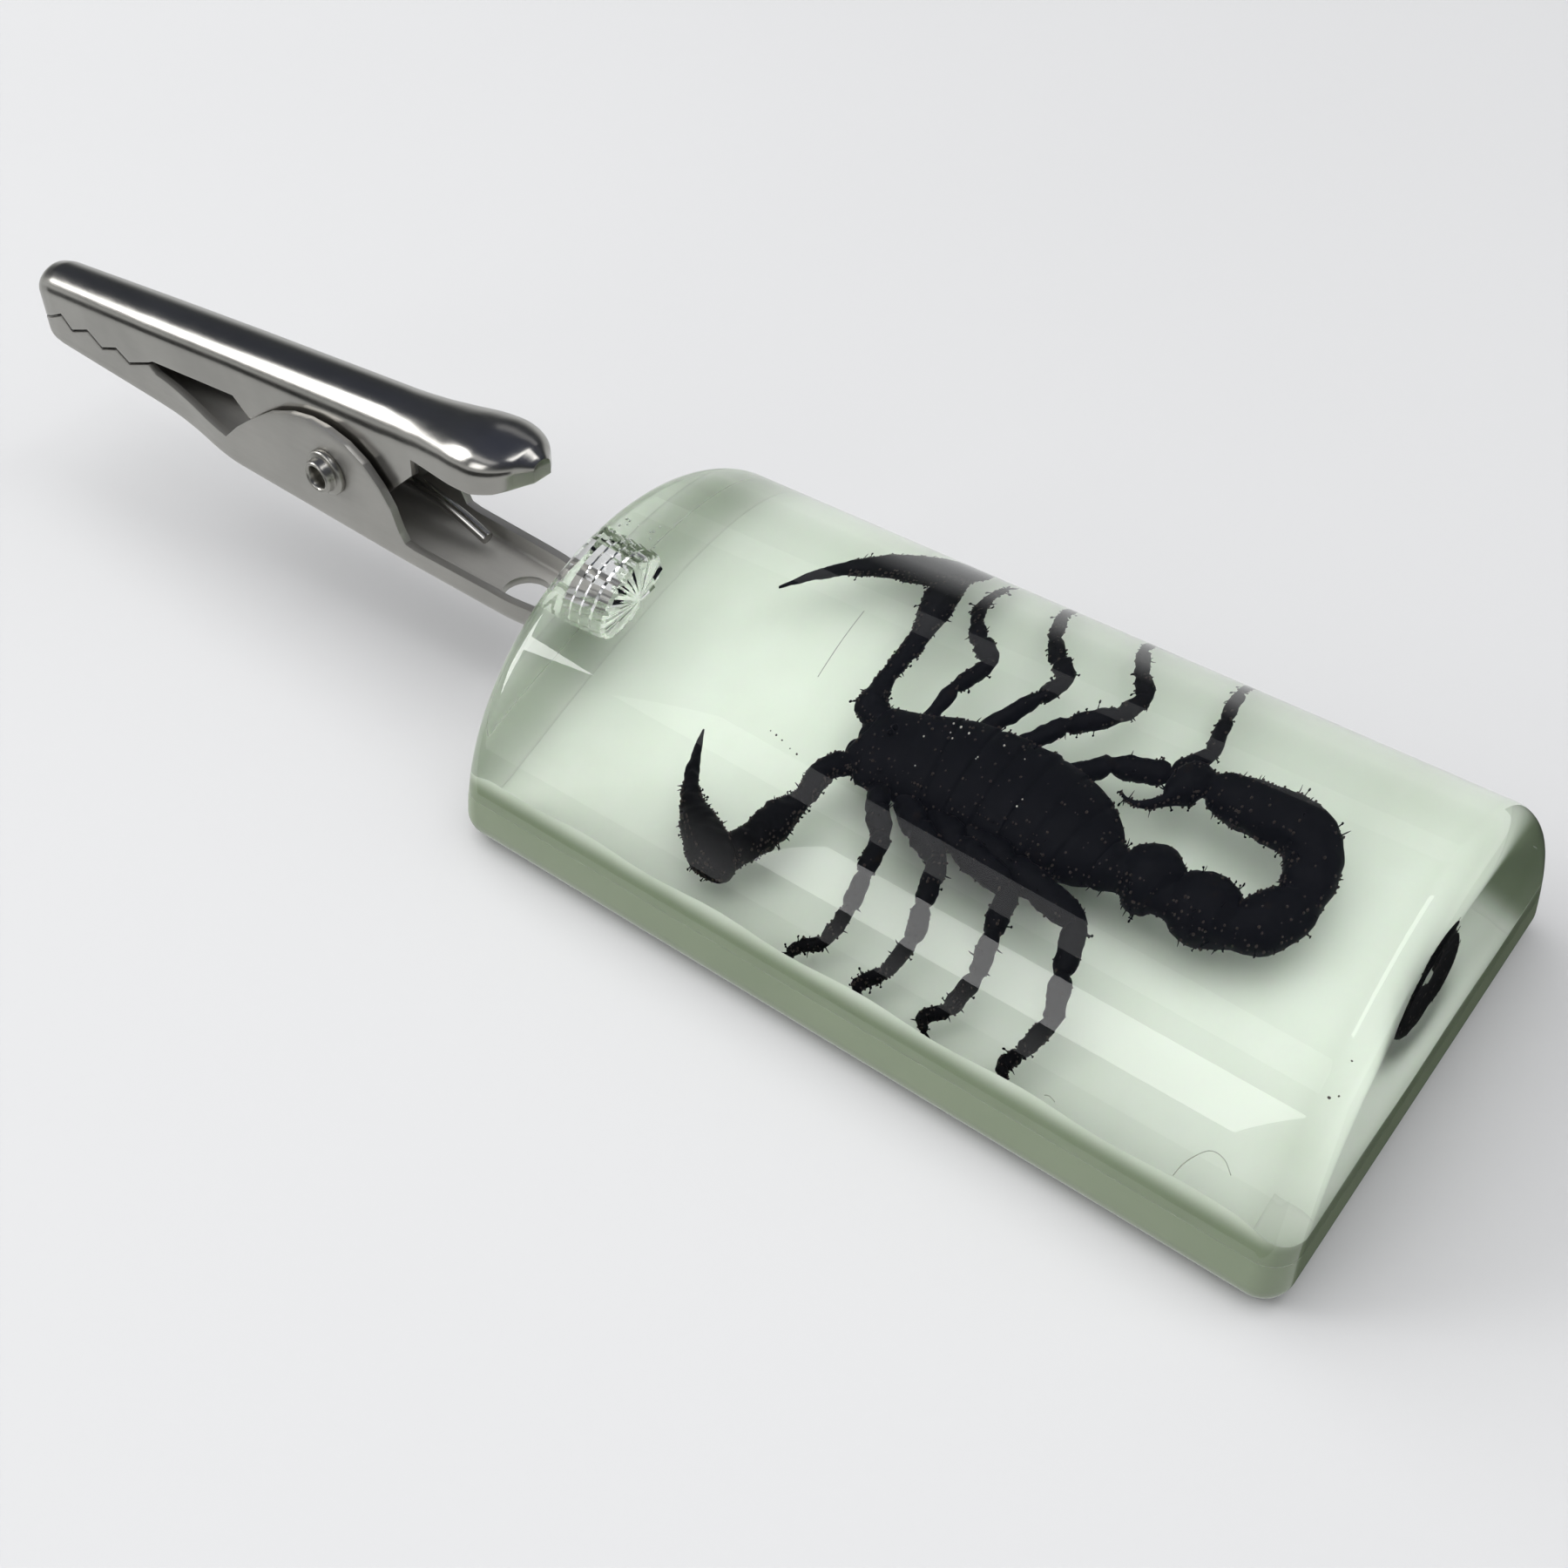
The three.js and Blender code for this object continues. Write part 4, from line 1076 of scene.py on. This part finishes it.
def place_on_clip(piece, sharp):
    """Moves a mesh from the clip's frame to the bar's; edges over sharp degrees stay sharp."""
    piece.data.transform(CLIP_MATRIX)
    piece.data.shade_smooth()
    piece.data.set_sharp_from_angle(angle=math.radians(sharp))


def tail_hole_cutter():
    """A plug of the tail's round hole, for the boolean that cuts it."""
    rings = []
    for w in (-5.0, -2.4):
        rings.append([(TAIL_HOLE_U + TAIL_HOLE_RADIUS * c, TAIL_HOLE_V + TAIL_HOLE_RADIUS * s, w)
                      for c, s in circle(64)])
    return make_object("tail_hole_cutter", *loft(rings))


def turned(profile, sides):
    """Rings of a body turned round the clip's v axis, from [v, radius] rows."""
    turn = circle(sides)
    return [[(PIVOT_U + radius * c, v, radius * s) for c, s in turn] for v, radius in profile]


def rivet():
    """One closed ring of profile: the shaft, a flange at each ear, and the rolled ends of the tube."""
    shaft = 0.8
    bore = 0.6
    seat = EAR_HALF + 0.02
    top = EAR_HALF + 0.38
    end = EAR_HALF + 0.9
    outer = [(0.0, shaft), (seat, shaft), (seat, 1.27), (seat + 0.05, 1.3), (top - 0.12, 1.3),
             (top - 0.03, 1.24), (top, 1.12), (top + 0.02, 1.0), (top + 0.1, 0.96), (end - 0.2, 0.95),
             (end - 0.08, 0.91), (end - 0.01, 0.84), (end, 0.78), (end - 0.04, 0.7), (end - 0.16, 0.63),
             (top, bore)]
    other_end = [(-v, r) for v, r in reversed(outer[1:])]
    rings = turned(other_end + outer, 56)
    verts, faces = loft(rings + rings[:1], caps=False)
    verts = verts[:-len(rings[0])]
    faces = [tuple(k % len(verts) for k in face) for face in faces]
    piece = make_object("rivet_tube", verts, faces)
    place_on_clip(piece, 50)
    add_materials(piece, nickel_material("rivet_nickel", (0.40, 0.39, 0.36), 0.3, (4.0, 1.0, 4.0)))
    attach(piece, "block")
    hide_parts("rivet")


COIL_RADIUS = 1.4
COIL_TURNS = 2.5
COIL_PITCH = 0.76
COIL_STEPS = 24  # points to a turn
WIRE_RADIUS = 0.36
WIRE_BEVEL = 0.04


def spring():
    """A lower leg along the tail, the coil round the rivet, and an upper leg under the thumb tab."""
    span = COIL_TURNS * COIL_PITCH
    route = [(-8.3, -span / 2, -2.5), (-6.3, -span / 2, -1.86), (-3.4, -span / 2, -1.32)]
    for i in range(int(COIL_TURNS * COIL_STEPS) + 1):
        angle = -math.pi / 2 + 2 * math.pi * i / COIL_STEPS
        v = -span / 2 + span * i / (COIL_TURNS * COIL_STEPS)
        route.append((PIVOT_U + COIL_RADIUS * math.cos(angle), v, COIL_RADIUS * math.sin(angle)))
    route += [(-3.2, span / 2, 2.2), (-6.8, span / 2, 3.9)]
    at = [Vector(row) for row in spline(route, 0.16)]
    rings = []
    side = Vector((0, 1, 0))
    for k, point in enumerate(at):
        along = heading(at, k)
        side = (side - along * side.dot(along)).normalized()
        other = along.cross(side)
        rings.append([point + (side * c + other * s) * WIRE_RADIUS for c, s in circle(20)])
    piece = make_object("spring_wire", *loft(rings))
    bevel(piece, WIRE_BEVEL, 60)
    place_on_clip(piece, 50)
    add_materials(piece, nickel_material("spring_steel", (0.45, 0.44, 0.42), 0.24, (1.0, 1.0, 1.0)))
    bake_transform(piece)
    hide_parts("torsion_spring")


# ---- floor, light and camera

FLOOR_SIZE = 1800


def floor():
    half = FLOOR_SIZE / 2
    corners = [(-half, -half, 0), (half, -half, 0), (half, half, 0), (-half, half, 0)]
    piece = make_object("studio_floor", corners, [(0, 1, 2, 3)])
    piece.location.z = -0.02 * MM
    m = Nodes("pale_floor")
    m.mottle(6, 2, (0.475, 0.475, 0.475), (0.49, 0.49, 0.49))
    m.set(Roughness=0.6, Specular_IOR_Level=0.2)
    add_materials(piece, m.material)
    piece.visible_glossy = False  # reflections show the world and the dark cards instead
    piece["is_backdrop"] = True


def dark_card(name, corners):
    """A card under the floor, which only reflections see, because they alone pass the floor."""
    card = make_object(name, corners, [(0, 1, 2, 3)])
    m = Nodes(name)
    m.mottle(20, 2, (0.05, 0.05, 0.05), (0.06, 0.06, 0.06))
    m.set(Roughness=0.9, Specular_IOR_Level=0.0)
    add_materials(card, m.material)
    card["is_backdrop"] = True


def dark_cards():
    """One darkens what the bar's near end face mirrors, the other the low near side and the jaws: painted
    shade in reflections, in place of shade on the floor and surroundings.
    """
    dark_card("end_card", [(14, 5, -30), (300, 5, -30), (300, 300, -30), (14, 300, -30)])
    dark_card("near_card", [(-450, -200, -95), (150, -200, -95), (150, -200, -8), (-450, -200, -8)])


def direction(azimuth, elevation):
    a, e = math.radians(azimuth), math.radians(elevation)
    return Vector((math.cos(a) * math.cos(e), math.sin(a) * math.cos(e), math.sin(e)))


def softbox(name, azimuth, elevation, distance, width, height, radiance):
    """A rectangular light that looks at the bar; radiance is its brightness as seen."""
    data = bpy.data.lights.new(name, "AREA")
    data.shape = "RECTANGLE"
    data.size = width
    data.size_y = height
    data.energy = radiance * width * height * math.pi
    light = add_object(name, data)
    towards = direction(azimuth, elevation)
    light.location = towards * distance
    light.rotation_euler = towards.to_track_quat("Z", "Y").to_euler()
    return light


# Name, azimuth, elevation, distance, width, height, brightness as seen, whether reflections show it.
LIGHTS = [
    ("key_softbox", -168, 56, 0.8, 1.1, 1.1, 2.55, False),
    ("fill_softbox", 10, 56, 0.8, 1.1, 1.1, 1.3, False),
    ("left_softbox", -147, 26, 0.8, 0.24, 0.36, 8.4, True),
    ("window_light", -108, 20, 0.6, 0.2, 0.19, 3.2, True),
    ("front_panel", -112, 44, 0.8, 0.5, 0.17, 0.8, True),
    ("back_panel", 115, 38, 0.8, 0.6, 0.16, 0.35, True),
    ("edge_light", 5, 76, 0.8, 0.9, 0.15, 3.2, True),
]

# World colours by a direction's height; below the horizon the first one stays.
SKY = [(0.0, (0.70, 0.71, 0.71)), (0.28, (0.065, 0.07, 0.075)), (0.9, (0.09, 0.1, 0.14))]


def studio():
    for *settings, glossy in LIGHTS:
        softbox(*settings).visible_glossy = glossy
    world = bpy.data.worlds.new("studio")
    bpy.context.scene.world = world
    world.use_nodes = True
    tree = world.node_tree
    place = tree.nodes.new("ShaderNodeTexCoord")
    split = tree.nodes.new("ShaderNodeSeparateXYZ")
    tree.links.new(place.outputs["Generated"], split.inputs[0])
    ramp = tree.nodes.new("ShaderNodeValToRGB")
    fill_ramp(ramp.color_ramp.elements, SKY)
    tree.links.new(split.outputs["Z"], ramp.inputs["Fac"])
    tree.links.new(ramp.outputs["Color"], tree.nodes["Background"].inputs["Color"])


def camera():
    data = bpy.data.cameras.new("camera")
    data.sensor_width = 36.0
    data.lens = CAMERA_LENS
    data.clip_start = 0.002
    data.clip_end = 20.0
    back = CAMERA_RIGHT.cross(CAMERA_UP).normalized()
    matrix = Matrix((CAMERA_RIGHT, CAMERA_UP, back)).transposed().to_4x4()
    matrix.translation = CAMERA_AT * MM
    viewer = add_object("camera", data)
    viewer.matrix_world = matrix
    bpy.context.scene.camera = viewer


camera()
floor()
dark_cards()
studio()
clear_resin()
glow_backing()
backing_curbs()
scorpion()
inclusions()
upper_jaw()
lower_jaw()
rivet()
spring()
bpy.context.scene.view_settings.view_transform = "Standard"

boxes = {"cad": CAD_BOX, "visual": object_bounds()}
{name: [list(corner) for corner in pair] for name, pair in boxes.items()}
